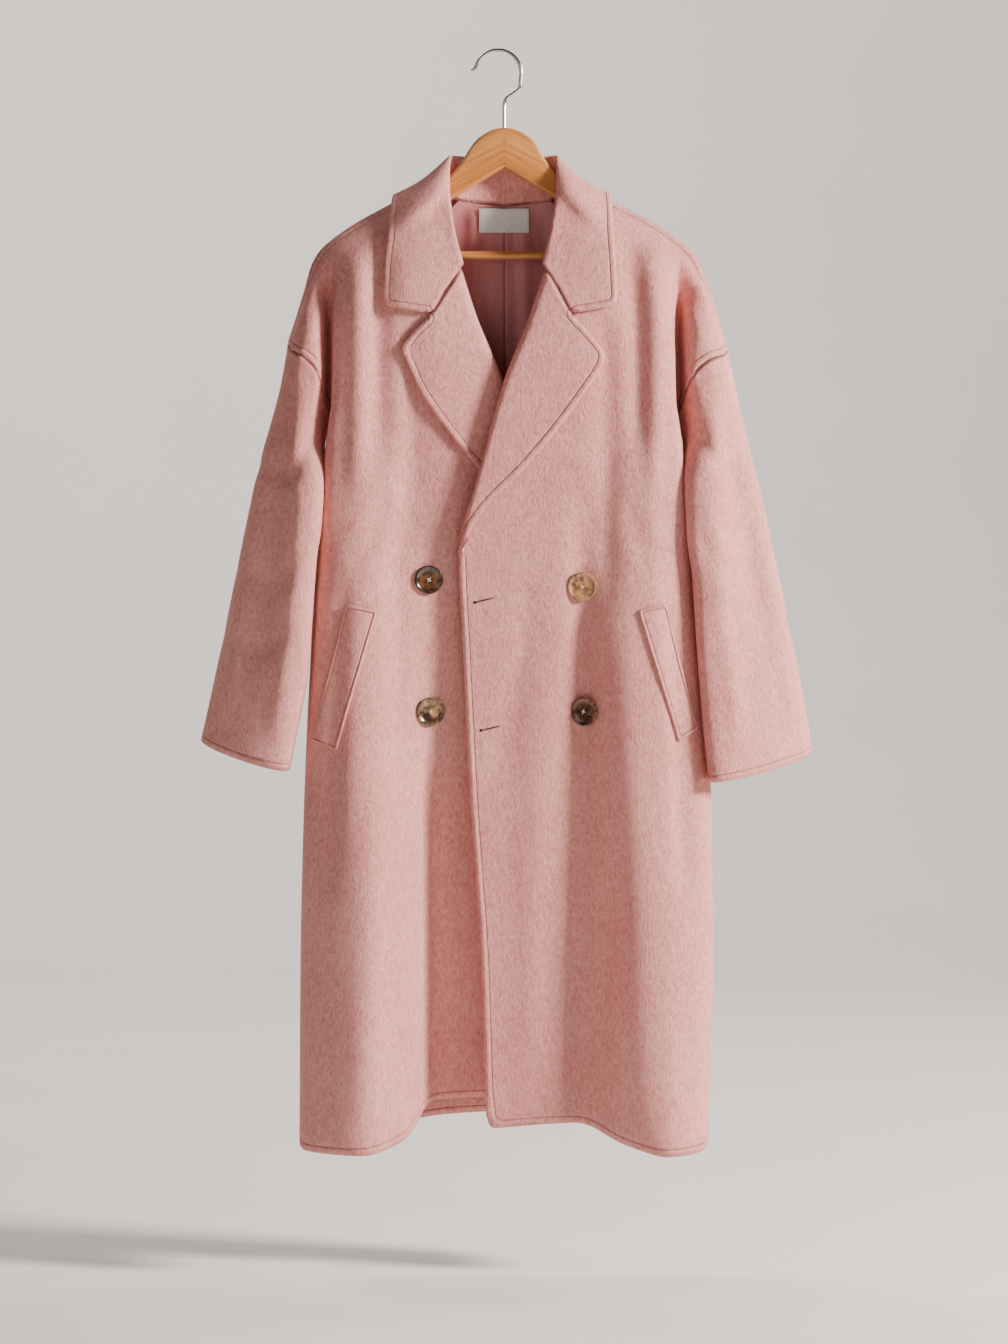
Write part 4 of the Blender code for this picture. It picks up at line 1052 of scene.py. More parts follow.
lining = lining_grid()
rows, columns = lining.shape[:2]
flat = lining.reshape(-1, 3)
values = {"seam": distance_to(flat, lining[:, columns // 2][::3]), "stitched": np.full(len(flat), FAR)}
pieces["lining"], areas["lining"] = cloth("back_lining", flat, grid_faces(rows, columns), SATIN, values)

LABEL_ROWS, LABEL_COLUMNS = 15, 31
LABEL_LIFT = SATIN + SEAM_GAP + 2.2
lining_tree = tree_of(surface(lining_table(), (4, 4, 4, 4), (6, 6, 6, 6)))
x, z = LABEL_CENTRE
wide, tall = LABEL_SIZE
label = np.zeros((LABEL_ROWS, LABEL_COLUMNS, 3))
for i in range(LABEL_ROWS):
    for j in range(LABEL_COLUMNS):
        u, v = j / (LABEL_COLUMNS - 1) - 0.5, i / (LABEL_ROWS - 1) - 0.5
        lift = LABEL_LIFT + 0.5 * math.sin(7 * u + 1) * (0.25 - v * v)
        label[i, j] = on_front(lining_tree, x + wide * u, z + tall * v, lift)
flat = label.reshape(-1, 3)
ends = distance_to_any(flat, label[:, 0][::2], label[:, -1][::2])
values = {"seam": np.full(len(flat), FAR), "stitched": ends}
faces = grid_faces(LABEL_ROWS, LABEL_COLUMNS)
pieces["neck_label"], areas["neck_label"] = cloth("satin_label", flat, faces, SATIN * 0.6, values)

# %% [markdown]
# A welt is a folded band over the mouth of a pocket. It is made from the front's own surface, moved out,
# so it follows every fold beneath it. Its corners are slightly round and it is stitched along its edges.

# %% The pocket welts
WELT_LIFT = CLOTH + 0.6
WELT_CROWN = 0.5
WELT_CORNER = 4.0


def make_welt(side):
    sign, tree = side_sign(side), trees[side]
    corners = [np.array(corner, float) for corner in WELTS[side]]
    across, down = 18, 60
    grid = np.zeros((down + 1, across + 1, 3))
    for i in range(down + 1):
        for j in range(across + 1):
            u, v = j / across, i / down
            top = corners[0] + (corners[1] - corners[0]) * u
            foot = corners[3] + (corners[2] - corners[3]) * u
            out, high = top + (foot - top) * v
            lift = WELT_LIFT + WELT_CROWN * math.sin(math.pi * u)
            grid[i, j] = on_front(tree, CENTRE_X + sign * out, high, lift)
    grid = relaxed(grid, 8)
    for first_row in (True, False):
        for first_column in (True, False):
            grid = rounded_corner(grid, WELT_CORNER, first_row, first_column)
    flat = grid.reshape(-1, 3)
    stitched = distance_to_any(flat, grid[:, 0][::2], grid[:, -1][::2], grid[0][::2], grid[-1][::2])
    values = {"seam": np.full(len(flat), FAR), "stitched": stitched}
    return cloth(f"welt_{side}", flat, grid_faces(down + 1, across + 1), CLOTH, values)


for side in ("left", "right"):
    pieces[f"pocket_welt_{side}"], areas[f"pocket_welt_{side}"] = make_welt(side)

# %% [markdown]
# Horn buttons are turned on a lathe: a flat disc with a raised rim and a shallow dish, drilled four
# times. The disc is a cylinder whose front face is inset and pushed in, with a bevel for the worn edge;
# the holes are cut with four rods. A button then turns to face the way the cloth under it faces.

# %% Operator helpers
def only(obj):
    bpy.ops.object.select_all(action="DESELECT")
    obj.select_set(True)
    bpy.context.view_layer.objects.active = obj
    return obj


def settle(obj):
    """Put an object's place, turn and size into its mesh."""
    only(obj)
    bpy.ops.object.transform_apply(location=True, rotation=True, scale=True)
    return obj


def pick(obj, test):
    """In edit mode, select the faces whose middle and normal pass the test."""
    work = bmesh.from_edit_mesh(obj.data)
    for part in (*work.verts, *work.edges, *work.faces):
        part.select = False
    for face in work.faces:
        if test(face.calc_center_median(), face.normal):
            face.select_set(True)
    bmesh.update_edit_mesh(obj.data)


def apply_modifier(obj, kind, **settings):
    only(obj)
    modifier = obj.modifiers.new(kind.lower(), kind)
    for key, value in settings.items():
        setattr(modifier, key, value)
    bpy.ops.object.modifier_apply(modifier=modifier.name)
    return obj


def bevelled(obj, width, segments, degrees, **settings):
    """Round the edges that are sharper than the angle; the width is in millimetres."""
    limit = math.radians(degrees)
    shape = {"width": width * MM, "segments": segments, "limit_method": "ANGLE", "angle_limit": limit}
    return apply_modifier(obj, "BEVEL", **shape, **settings)


def smooth_below(obj, degrees):
    only(obj)
    bpy.ops.object.shade_smooth_by_angle(angle=math.radians(degrees))


# %% The buttons
BUTTON_DIAMETER = 34.0
BUTTON_THICK = 4.5
HOLE_AT = 2.3
HOLE_SIZE = 1.9
HOLE_SIDES = 14
FACE_STEPS = ((2.2, 0), (1.4, -1.1), (3.5, -0.35), (2.5, -0.1))  # inwards and down, rim to dish
BUTTON_SPINS = {"button_1": 0.2, "button_2": 0.9, "button_3": -0.3, "button_4": 0.5}
RIM_PLACES = 16  # places under a button's rim where the cloth's height is taken
RIM_SHARE = 0.8


def turned_button():
    """One button at the world's middle, its face towards +Z."""
    radius = BUTTON_DIAMETER / 2 * MM
    thick = BUTTON_THICK * MM
    bpy.ops.mesh.primitive_cylinder_add(vertices=64, radius=radius, depth=thick, location=(0, 0, thick / 2))
    made = bpy.context.object
    bpy.ops.object.mode_set(mode="EDIT")
    pick(made, lambda centre, normal: normal.z > 0.9)
    for inwards, down in FACE_STEPS:
        bpy.ops.mesh.inset(thickness=inwards * MM, depth=down * MM)
    pick(made, lambda centre, normal: normal.z < -0.9)
    bpy.ops.mesh.inset(thickness=2.5 * MM, depth=0)
    bpy.ops.transform.translate(value=(0, 0, -0.1 * MM))
    bpy.ops.object.mode_set(mode="OBJECT")
    bevelled(made, 0.7, 3, 35)
    for across, up in ((1, 1), (1, -1), (-1, 1), (-1, -1)):
        at = (HOLE_AT * across * MM, HOLE_AT * up * MM, thick / 2)
        bpy.ops.mesh.primitive_cylinder_add(
            vertices=HOLE_SIDES, radius=HOLE_SIZE / 2 * MM, depth=3 * thick, location=at
        )
        drill = settle(bpy.context.object)
        apply_modifier(made, "BOOLEAN", object=drill, operation="DIFFERENCE", solver="EXACT")
        bpy.data.objects.remove(drill)
    smooth_below(made, 38)
    return made


def stitch_cross():
    """Two threads that cross between the holes, each a stretched ball sunk in at its ends."""
    parts = []
    for turn in (45, -45):
        bpy.ops.mesh.primitive_uv_sphere_add(segments=10, ring_count=8, radius=1 * MM)
        thread = bpy.context.object
        thread.scale = (3.4, 0.62, 0.8 if turn > 0 else 0.6)
        thread.rotation_euler = (0, 0, math.radians(turn))
        thread.location = (0, 0, (BUTTON_THICK - 1.35) * MM)
        parts.append(settle(thread))
    bpy.ops.object.select_all(action="DESELECT")
    for part in parts:
        part.select_set(True)
    bpy.context.view_layer.objects.active = parts[0]
    bpy.ops.object.join()
    bpy.ops.object.shade_smooth()
    return bpy.context.object


def placed_copy(model, name, matrix):
    made = bpy.data.objects.new(name, model.data.copy())
    made.data.transform(matrix)
    bpy.context.scene.collection.objects.link(made)
    return made


button_model, cross_model = turned_button(), stitch_cross()
button_threads = []
for name, (side, out, high) in BUTTONS.items():
    x = CENTRE_X + side_sign(side) * out
    middle = on_front(trees[side], x, high, 0)
    ahead = on_front(trees[side], x, high, 1) - middle
    rim, reach = [], BUTTON_DIAMETER / 2
    for i in range(RIM_PLACES):
        angle = 2 * math.pi * i / RIM_PLACES
        under = on_front(trees[side], x + reach * math.cos(angle), high + reach * math.sin(angle), 0)
        rim.append(float(np.dot(under - middle, ahead)))
    place = (middle + ahead * (max(0.0, *rim) * RIM_SHARE + CLOTH / 2 + 0.4)) * MM
    turn = Vector(ahead).to_track_quat("Z", "Y").to_matrix().to_4x4()
    spin = Matrix.Rotation(BUTTON_SPINS[name], 4, "Z")
    matrix = Matrix.Translation(Vector(place)) @ turn @ spin
    pieces[name] = placed_copy(button_model, f"horn_{name}", matrix)
    button_threads.append(placed_copy(cross_model, f"{name}_thread", matrix))
bpy.data.objects.remove(button_model)
bpy.data.objects.remove(cross_model)
print("buttons:", len(button_threads), "of", BUTTON_DIAMETER, "mm")

# %% [markdown]
# A keyhole buttonhole is a slit with a round eye at the end nearest the edge, bound all round with close
# stitches. The slit is a thin dark spindle sunk into the cloth, painted shadow that stands for the shade
# inside the cut; the binding is one small stitch, modelled once and copied round the slit.

# %% Buttonholes and hand stitches
BUTTONHOLES = {"upper": ((-31.0, -661.5), (-6.0, -655.5)), "lower": ((-23.5, -813.5), (0.0, -808.0))}


def stitch_model():
    bpy.ops.mesh.primitive_uv_sphere_add(segments=6, ring_count=4, radius=1.0)
    made = bpy.context.object
    bpy.ops.object.shade_smooth()
    return made


stitch = stitch_model()


def stitched_row(name, places):
    """Many copies of the one stitch, as a single piece. Each place: middle, along, out, half sizes."""
    joined = bmesh.new()
    for middle, along, ahead, size in places:
        along = Vector(along).normalized()
        ahead = Vector(ahead).normalized()
        side = ahead.cross(along).normalized()
        turn = Matrix((along, side, along.cross(side))).transposed().to_4x4()
        scale = Matrix.Diagonal((*(s * MM for s in size), 1))
        matrix = Matrix.Translation(Vector(middle) * MM) @ turn @ scale
        copy = stitch.data.copy()
        copy.transform(matrix)
        joined.from_mesh(copy)
        bpy.data.meshes.remove(copy)
    mesh = bpy.data.meshes.new(name)
    joined.to_mesh(mesh)
    joined.free()
    mesh.shade_smooth()
    made = bpy.data.objects.new(name, mesh)
    bpy.context.scene.collection.objects.link(made)
    print(f"{name}: {len(places)} stitches")
    return made


def on_edge_front(x, z, lift):
    return on_front(trees["left"], x, z, lift)


LOOP_STITCHES = 44
OUT_END, TURN_END, BACK_END = 0.36, 0.42, 0.78  # the shares of the loop where its sides, tip and eye meet
EYE = 2.4  # the length of the round eye
EYE_HALF, SIDE_HALF, TIP_HALF = 2.0, 1.15, 0.65  # half the loop's width at eye, side and tip


def buttonhole_loop(length):
    """Places of the binding's stitches: how far along the slit, and how far beside it."""
    loop = []
    for k in range(LOOP_STITCHES):
        t = k / LOOP_STITCHES
        out, turn = t / OUT_END, (t - OUT_END) / (TURN_END - OUT_END)
        back, eye = (t - TURN_END) / (BACK_END - TURN_END), (t - BACK_END) / (1 - BACK_END)
        if t < OUT_END:
            loop.append((EYE + (length - EYE) * out, SIDE_HALF - 0.5 * out))
        elif t < TURN_END:
            loop.append((length + 0.6, TIP_HALF - 2 * TIP_HALF * turn))
        elif t < BACK_END:
            loop.append((length - (length - EYE) * back, -TIP_HALF - 0.5 * back))
        else:
            loop.append((0.6 - abs(math.sin(math.pi * eye)) * 2.2, 2 * EYE_HALF * eye - EYE_HALF))
    return loop


buttonhole_binding, buttonhole_slits = [], []
for name, ((x0, z0), (x1, z1)) in BUTTONHOLES.items():
    run = np.array([x1 - x0, z1 - z0])
    length = np.linalg.norm(run)
    run /= length
    side = np.array([-run[1], run[0]])
    for s, w in buttonhole_loop(length):
        x, z = x0 + run[0] * s + side[0] * w, z0 + run[1] * s + side[1] * w
        place = on_edge_front(x, z, CLOTH / 2 + 0.15)
        ahead = on_edge_front(x, z, 2) - on_edge_front(x, z, 1)
        out = np.array([side[0], 0, side[1]]) * (1 if w >= 0 else -1)
        if s <= 0.4:
            out = np.array([-run[0] * (0.6 - s) + side[0] * w, 0, -run[1] * (0.6 - s) + side[1] * w])
        buttonhole_binding.append((place, out + 1e-6, ahead, (0.75, 0.34, 0.3)))
    # The slit and its eye are two dark spindles of painted shadow.
    for s, size in ((length * 0.5, (length * 0.5, 0.7, 0.55)), (0.4, (2.1, 1.8, 0.6))):
        x, z = x0 + run[0] * s, z0 + run[1] * s
        place = on_edge_front(x, z, CLOTH / 2 + 0.1)
        ahead = on_edge_front(x, z, 2) - on_edge_front(x, z, 1)
        buttonhole_slits.append((place, (run[0], 0, run[1]), ahead, size))
binding = stitched_row("buttonhole_binding", buttonhole_binding)
slits = stitched_row("buttonhole_slits", buttonhole_slits)

WHIP_REACH = 64  # the stand is whipped down behind the neck, this far to each side
WHIP_SLANT = (0.35, 0.0, 1.0)
WHIP_SIZE = (1.7, 0.35, 0.35)
whip = []
for place in collar_grid[:, 0]:
    if abs(place[0] - CENTRE_X) <= WHIP_REACH and place[1] >= 0:
        low = place + np.array([0.0, -CLOTH / 2 - 0.2, 1.2])
        whip.append((low, WHIP_SLANT, (0.0, -1.0, 0.0), WHIP_SIZE))
stand_stitches = stitched_row("stand_stitches", whip)
bpy.data.objects.remove(stitch)

# %% [markdown]
# The hanger's arms are sawn from two boards glued at the middle, bookmatched, and rounded over with a
# router. The outline comes from a short table of tops and bottoms. It starts as a circle primitive with
# as many corners as the outline needs; the corners are set on the outline, the face is extruded and the
# edges bevelled.

# %% The wooden hanger
ARM_SECTIONS = (
    (0.0, -90.8, -139.6),
    (12.0, -92.6, -146.5),
    (25.0, -98.8, -154.5),
    (34.0, -106.0, -159.7),
    (43.0, -118.0, -165.0),
    (50.0, -130.5, -169.0),
    (60.0, -142.5, -175.0),
    (68.0, -152.5, -180.0),
    (78.0, -162.0, -185.5),
    (108.0, -177.5, -203.0),
    (143.0, -196.0, -224.0),
    (178.0, -215.5, -246.0),
    (200.0, -231.0, -259.0),
    (213.0, -242.0, -262.0),
    (218.5, -249.0, -258.0),
)
ARM_THICK = 11.0
BAR_HIGH, BAR_REACH, BAR_DIAMETER = -243.8, 196.0, 10.0


def arm_outline():
    arms = np.array(ARM_SECTIONS)
    steps = [3] * (len(arms) - 1)
    top = through(arms[:, [0, 1]], steps)
    foot = through(arms[:, [0, 2]], steps)
    half = np.concatenate([top, foot[::-1]])
    mirrored = half * (-1, 1)
    return np.concatenate([half[:-1], mirrored[::-1][:-1]])


outline = arm_outline()
bpy.ops.object.select_all(action="DESELECT")
bpy.ops.mesh.primitive_circle_add(vertices=len(outline), radius=1, fill_type="NGON", location=(0, 0, 0))
arms = bpy.context.object
arms.name = arms.data.name = "wooden_arms"
for vertex, (out, high) in zip(arms.data.vertices, outline):
    vertex.co = ((CENTRE_X + out) * MM, ARM_THICK / 2 * MM, high * MM)
bpy.ops.object.mode_set(mode="EDIT")
bpy.ops.mesh.select_all(action="SELECT")
bpy.ops.mesh.extrude_region_move(TRANSFORM_OT_translate={"value": (0, -ARM_THICK * MM, 0)})
bpy.ops.mesh.select_all(action="SELECT")
bpy.ops.mesh.normals_make_consistent(inside=False)
bpy.ops.object.mode_set(mode="OBJECT")
bevelled(arms, 4.2, 5, 60, use_clamp_overlap=True)
smooth_below(arms, 40)
pieces["hanger_arms"] = arms

bpy.ops.mesh.primitive_cylinder_add(
    vertices=40,
    radius=BAR_DIAMETER / 2 * MM,
    depth=2 * BAR_REACH * MM,
    location=(CENTRE_X * MM, 0, BAR_HIGH * MM),
    rotation=(0, math.pi / 2, 0),
)
bar = settle(bpy.context.object)
bar.name = bar.data.name = "trouser_bar"
bevelled(bar, 1.2, 3, 60)
smooth_below(bar, 40)
pieces["hanger_bar"] = bar
print("hanger:", len(arms.data.polygons), "faces in the arms")

# %% [markdown]
# The hook is one steel wire bent round a peg, its tip ground round and turned a little outwards, its
# foot screwed into the wood. A path with the wire's thickness as its bevel gives it; it is then made a
# mesh.

# %% The steel hook
HOOK_WIRE = 4.6
HOOK_CENTRE = (-3.0, -25.6)
HOOK_RADIUS = 27.9
HOOK_ARC = (176, -12)
HOOK_LIP = ((-35.5, -22.0), (-31.2, -20.5))
HOOK_BEND = ((23.2, -42), (15.2, -49.5), (7.6, -55), (4.5, -63), (4.5, -75))
SHANK_FOOT = -104.0
ARC_STEPS = 14
TIP_SHARES = (0.35, 0.72, 0.9, 0.98)  # the wire's thickness at its ground tip


def hook_route():
    points = list(HOOK_LIP)
    start, stop = HOOK_ARC
    for i in range(1, ARC_STEPS + 1):
        angle = math.radians(start + (stop - start) * i / ARC_STEPS)
        x = HOOK_CENTRE[0] + HOOK_RADIUS * math.cos(angle)
        points.append((x, HOOK_CENTRE[1] + HOOK_RADIUS * math.sin(angle)))
    points += list(HOOK_BEND) + [(CENTRE_X, SHANK_FOOT)]
    return through(points, [6] * (len(points) - 1))


route = hook_route()
bpy.ops.object.select_all(action="DESELECT")
path = bpy.data.curves.new("steel_hook", "CURVE")
path.dimensions = "3D"
path.bevel_depth = HOOK_WIRE / 2 * MM
path.bevel_resolution = 6
path.use_fill_caps = True
spline = path.splines.new("POLY")
spline.points.add(len(route) - 1)
for point, (x, z) in zip(spline.points, route):
    point.co = (x * MM, 0, z * MM, 1)
    point.radius = 1.0
for point, share in zip(spline.points, TIP_SHARES):
    point.radius = share
hook = bpy.data.objects.new("steel_hook", path)
bpy.context.scene.collection.objects.link(hook)
only(hook)
bpy.ops.object.convert(target="MESH")
hook = bpy.context.object
bpy.ops.object.shade_smooth_by_angle(angle=math.radians(50))
pieces["hanger_hook"] = hook
print("hook:", len(hook.data.polygons), "faces")

# %% [markdown]
# Every finish is made of nodes. To keep the arithmetic readable, a small class wraps one socket of a
# material: sums, products and powers of wrapped sockets add the Math nodes by themselves, and add()
# makes any other node from its type, its settings and the values of its sockets.

# %% A small language for finishes
BELL_BASE = 2.718


class Wire:
    """One socket of a material, which can be worked with as if it were a number."""

    def __init__(self, tree, socket):
        self.tree, self.socket = tree, socket

    def add(self, kind, settings=(), sockets=(), out=0):
        node = self.tree.nodes.new("ShaderNode" + kind)
        settings = dict(settings)
        stops = settings.pop("stops", None)
        for key, value in settings.items():
            setattr(node, key, value)
        if stops:
            ramp = node.color_ramp
            while len(ramp.elements) < len(stops):
                ramp.elements.new(0.5)
            for element, (at, colour) in zip(ramp.elements, stops):
                element.position, element.color = at, (*colour, 1)
        for key, value in dict(sockets).items():
            if isinstance(value, Wire):
                self.tree.links.new(value.socket, node.inputs[key])
            else:
                node.inputs[key].default_value = value
        return Wire(self.tree, node.outputs[out])

    def maths(self, operation, *values):
        return self.add("Math", {"operation": operation}, enumerate(values))

    def __add__(self, other):
        return self.maths("ADD", self, other)

    __radd__ = __add__

    def __sub__(self, other):
        return self.maths("SUBTRACT", self, other)

    def __rsub__(self, other):
        return self.maths("SUBTRACT", other, self)

    def __mul__(self, other):
        return self.maths("MULTIPLY", self, other)

    __rmul__ = __mul__

    def __truediv__(self, other):
        return self.maths("DIVIDE", self, other)

    def __pow__(self, other):
        return self.maths("POWER", self, other)

    def __rpow__(self, other):
        return self.maths("POWER", other, self)

    def __neg__(self):
        return self * -1.0

    def step(self, low, high):
        """0 below low, 1 above high, smooth between."""
        ends = {0: self, 1: low, 2: high, 3: 0.0, 4: 1.0}
        return self.add("MapRange", {"interpolation_type": "SMOOTHSTEP"}, ends)

    def bump_at(self, place, wide):
        """A bell: 1 where the value is at the place, fading to nothing over the width."""
        away = (self - place) / wide
        return BELL_BASE ** (-(away * away))

    def noise(self, scale, detail=2.0, rough=0.5, warp=0.0, out=0):
        sockets = {"Vector": self, "Scale": scale, "Detail": detail, "Roughness": rough, "Distortion": warp}
        return self.add("TexNoise", (), sockets, out)

    def stretched(self, x, y, z):
        """The coordinates, stretched by a factor each way."""
        return self.add("VectorMath", {"operation": "MULTIPLY"}, {0: self, 1: (x, y, z)})

    def warped(self, scale, amount):
        """The coordinates, pushed about by a noise, so that lines wander."""
        push = self.noise(scale, 2.0, 0.5, out=1)
        centred = self.add("VectorMath", {"operation": "SUBTRACT"}, {0: push, 1: (0.5, 0.5, 0.5)})
        small = self.add("VectorMath", {"operation": "SCALE"}, {0: centred, "Scale": amount})
        return self.add("VectorMath", {"operation": "ADD"}, {0: self, 1: small})

    def between(self, first, second):
        """A colour from the first to the second, by this value."""
        return self.add("Mix", {"data_type": "RGBA"}, {0: self, 6: first, 7: second}, out=2)

    def axis(self, name):
        return self.add("SeparateXYZ", (), {0: self}, out="XYZ".index(name))


def srgb(red, green, blue):
    """A screen colour, 0 to 255, as the light values that a shader takes."""
    values = np.array([red, green, blue]) / 255
    linear = np.where(values <= 0.04045, values / 12.92, ((values + 0.055) / 1.055) ** 2.4)
    return (*(float(v) for v in linear), 1.0)


def new_finish(name, **constants):
    """A material, its shader with the constants set, and its Object coordinates as a Wire."""
    made = bpy.data.materials.new(name)
    made.use_nodes = True
    tree = made.node_tree
    shader = tree.nodes["Principled BSDF"]
    for key, value in constants.items():
        shader.inputs[key.replace("_", " ")].default_value = value
    here = Wire(tree, tree.nodes.new("ShaderNodeTexCoord").outputs["Object"])
    return made, shader, here


def plug(wire, shader, name):
    wire.tree.links.new(wire.socket, shader.inputs[name])


def raised(height, strength=1.0):
    """A bump from a height in millimetres."""
    return height.add("Bump", (), {"Height": height, "Distance": MM, "Strength": strength})


def sewing_of(here, name):
    """How far a point lies from the sewing, in millimetres, from the piece's own attribute."""
    return here.add("Attribute", {"attribute_name": name, "attribute_type": "GEOMETRY"}, (), out="Fac")


# %% [markdown]
# Brushed wool has a laid nap: fine fibres that run down the cloth, gathered into small wavy tufts, with
# paler tips over a deeper ground. Two noises stretched downwards and pushed about give the fibres and
# tufts, a third very large one gives the unevenness of the dye. The stitched edge is a soft bead about
# eight millimetres wide with a groove inside it; a plain seam is a narrow groove with the cloth swelling
# beside it. Both grooves are also darker in colour, as painted shade in the crease.

# %% The wool
WOOL_DEEP = srgb(138, 68, 61)
WOOL_MID = srgb(206, 127, 119)
WOOL_PALE = srgb(238, 169, 161)


def wool_finish(name, nap_x=1.0, stitch_at=8.0):
    made, shader, here = new_finish(
        name,
        Roughness=0.92,
        Sheen_Weight=0.12,
        Sheen_Roughness=0.5,
        Sheen_Tint=srgb(255, 200, 196),
        Specular_IOR_Level=0.1,
    )
    wander = here.warped(26, 0.016).warped(95, 0.006)
    fibre = wander.stretched(1900 * nap_x, 1900, 700).noise(1.0, 3.0, 0.7)
    tuft = wander.stretched(360, 360, 150).noise(1.0, 3.0, 0.62)
    clump = here.warped(40, 0.02).stretched(95, 95, 52).noise(1.0, 2.0, 0.5)
    dye = here.noise(5.0, 3.0, 0.55)
    stitched = sewing_of(here, "stitched")
    seam = sewing_of(here, "seam")
    groove = stitched.bump_at(stitch_at, 0.8)
    bead = stitched.bump_at(stitch_at * 0.45, stitch_at * 0.42)
    pinch = seam.bump_at(0.0, 1.8)
    swell = seam.bump_at(5.0, 3.5)
    pale = (0.44 * fibre + 0.42 * tuft + 0.1 * clump + 0.16 * dye).step(0.42, 0.7)
    ground = pale.between(WOOL_MID, WOOL_PALE)
    dark_tips = (0.5 * fibre + 0.5 * tuft).step(0.46, 0.3)
    colour = (dark_tips * 0.32).between(ground, WOOL_DEEP)
    # Painted shade: the stitch groove and the seam's pinch are painted towards the deep wool colour.
    colour = (groove * 0.18 + pinch * 0.36).between(colour, WOOL_DEEP)
    plug(colour, shader, "Base Color")
    height = fibre * 0.7 + tuft * 1.5 + clump * 1.0 + bead * 1.5 - groove * 1.6 - pinch * 1.8 + swell * 0.6
    plug(raised(height, 0.9), shader, "Normal")
    plug(0.84 + 0.14 * fibre, shader, "Roughness")
    return made


coat_wool = wool_finish("brushed_wool")
welt_wool = wool_finish("brushed_wool_welt", stitch_at=4.5)

# %% [markdown]
# Satin shows its weave only as a sheen that runs with the threads. The lining is a deep mauve with fine
# upright ribs far too small to count; the label is a silvery ribbon with a woven edge.

# %% Satin, horn, thread, wood and steel
lining_satin, shader, here = new_finish(
    "mauve_satin", Roughness=0.42, Specular_IOR_Level=0.5, Sheen_Weight=0.25, Sheen_Roughness=0.3
)
seam = sewing_of(here, "seam")
weave = here.warped(60, 0.002).stretched(2600, 2600, 420).noise(1.0, 1.0)
cloud = here.noise(14.0, 2.0)
colour = (0.7 * weave + 0.3 * cloud).step(0.35, 0.65).between(srgb(180, 106, 106), srgb(210, 138, 136))
# Painted shade: the crease of the centre seam is painted nearly black.
colour = (seam.bump_at(0.0, 0.7) * 0.75).between(colour, srgb(60, 30, 34))
plug(colour, shader, "Base Color")
plug(raised(weave * 0.05 - seam.bump_at(0.0, 0.9) * 0.6, 0.8), shader, "Normal")
plug(0.36 + 0.14 * cloud, shader, "Roughness")

label_satin, shader, here = new_finish(
    "label_ribbon", Roughness=0.38, Specular_IOR_Level=0.5, Sheen_Weight=0.2
)
ribs = here.stretched(420, 420, 3200).noise(1.0, 1.0)
ends = sewing_of(here, "stitched")
colour = ribs.step(0.35, 0.65).between(srgb(196, 194, 188), srgb(226, 225, 220))
colour = (ends.bump_at(1.6, 0.4) * 0.4).between(colour, srgb(150, 140, 138))
plug(colour, shader, "Base Color")
plug(raised(ribs * 0.06 - ends.bump_at(1.6, 0.5) * 0.2, 0.8), shader, "Normal")
plug(0.32 + 0.16 * ribs, shader, "Roughness")


def horn_finish(name, dark, honey, share):
    """Mottled horn: dark clouds over honey, with fine streaks along the growth."""
    made, shader, here = new_finish(name, Roughness=0.2, Coat_Weight=0.6, Coat_Roughness=0.08)
    wander = here.warped(70, 0.02)
    cloud = wander.stretched(62, 62, 46).noise(1.0, 3.0, 0.6, 0.6)
    streak = wander.stretched(300, 300, 90).noise(1.0, 2.0)
    tone = (cloud + streak * 0.25).step(share - 0.1, share + 0.22)
    plug(tone.between(dark, honey), shader, "Base Color")
    plug(0.16 + 0.12 * streak, shader, "Roughness")
    plug(raised(streak * 0.05, 0.5), shader, "Normal")
    return made


horn_dark = horn_finish("horn_dark", srgb(38, 22, 16), srgb(104, 66, 40), 0.6)
horn_honey = horn_finish("horn_honey", srgb(74, 40, 24), srgb(186, 138, 92), 0.5)
horn_half = horn_finish("horn_half", srgb(46, 27, 19), srgb(176, 132, 86), 0.62)
horn_brown = horn_finish("horn_brown", srgb(48, 27, 18), srgb(134, 88, 52), 0.6)


def thread_finish(name, fine, dark, pale, height, **constants):
    """Spun thread: a fine even mottle from its twist."""
    made, shader, here = new_finish(name, **constants)
    twist = here.stretched(fine, fine, fine).noise(1.0, 1.0)
    plug(twist.step(0.3, 0.7).between(dark, pale), shader, "Base Color")
    plug(raised(twist * height), shader, "Normal")
    return made


cream, rose = (srgb(190, 172, 158), srgb(236, 224, 212)), (srgb(150, 96, 88), srgb(200, 146, 134))
button_thread = thread_finish("cream_thread", 1800, *cream, 0.15, Roughness=0.7, Sheen_Weight=0.2)
rose_thread = thread_finish("rose_thread", 1500, *rose, 0.12, Roughness=0.75, Sheen_Weight=0.3)

# Painted shadow: the near-black inside the buttonhole slits, with a faint mottle.
slit_shade, shader, here = new_finish("slit_shadow", Roughness=0.95, Specular_IOR_Level=0.05)
slit_shadow_mottle = here.stretched(900, 900, 900).noise(1.0, 1.0)
plug(slit_shadow_mottle.step(0.3, 0.8).between(srgb(16, 7, 7), srgb(46, 24, 24)), shader, "Base Color")


ARM_SLOPE = math.radians(27)
JOINT_WIDE = 0.00035


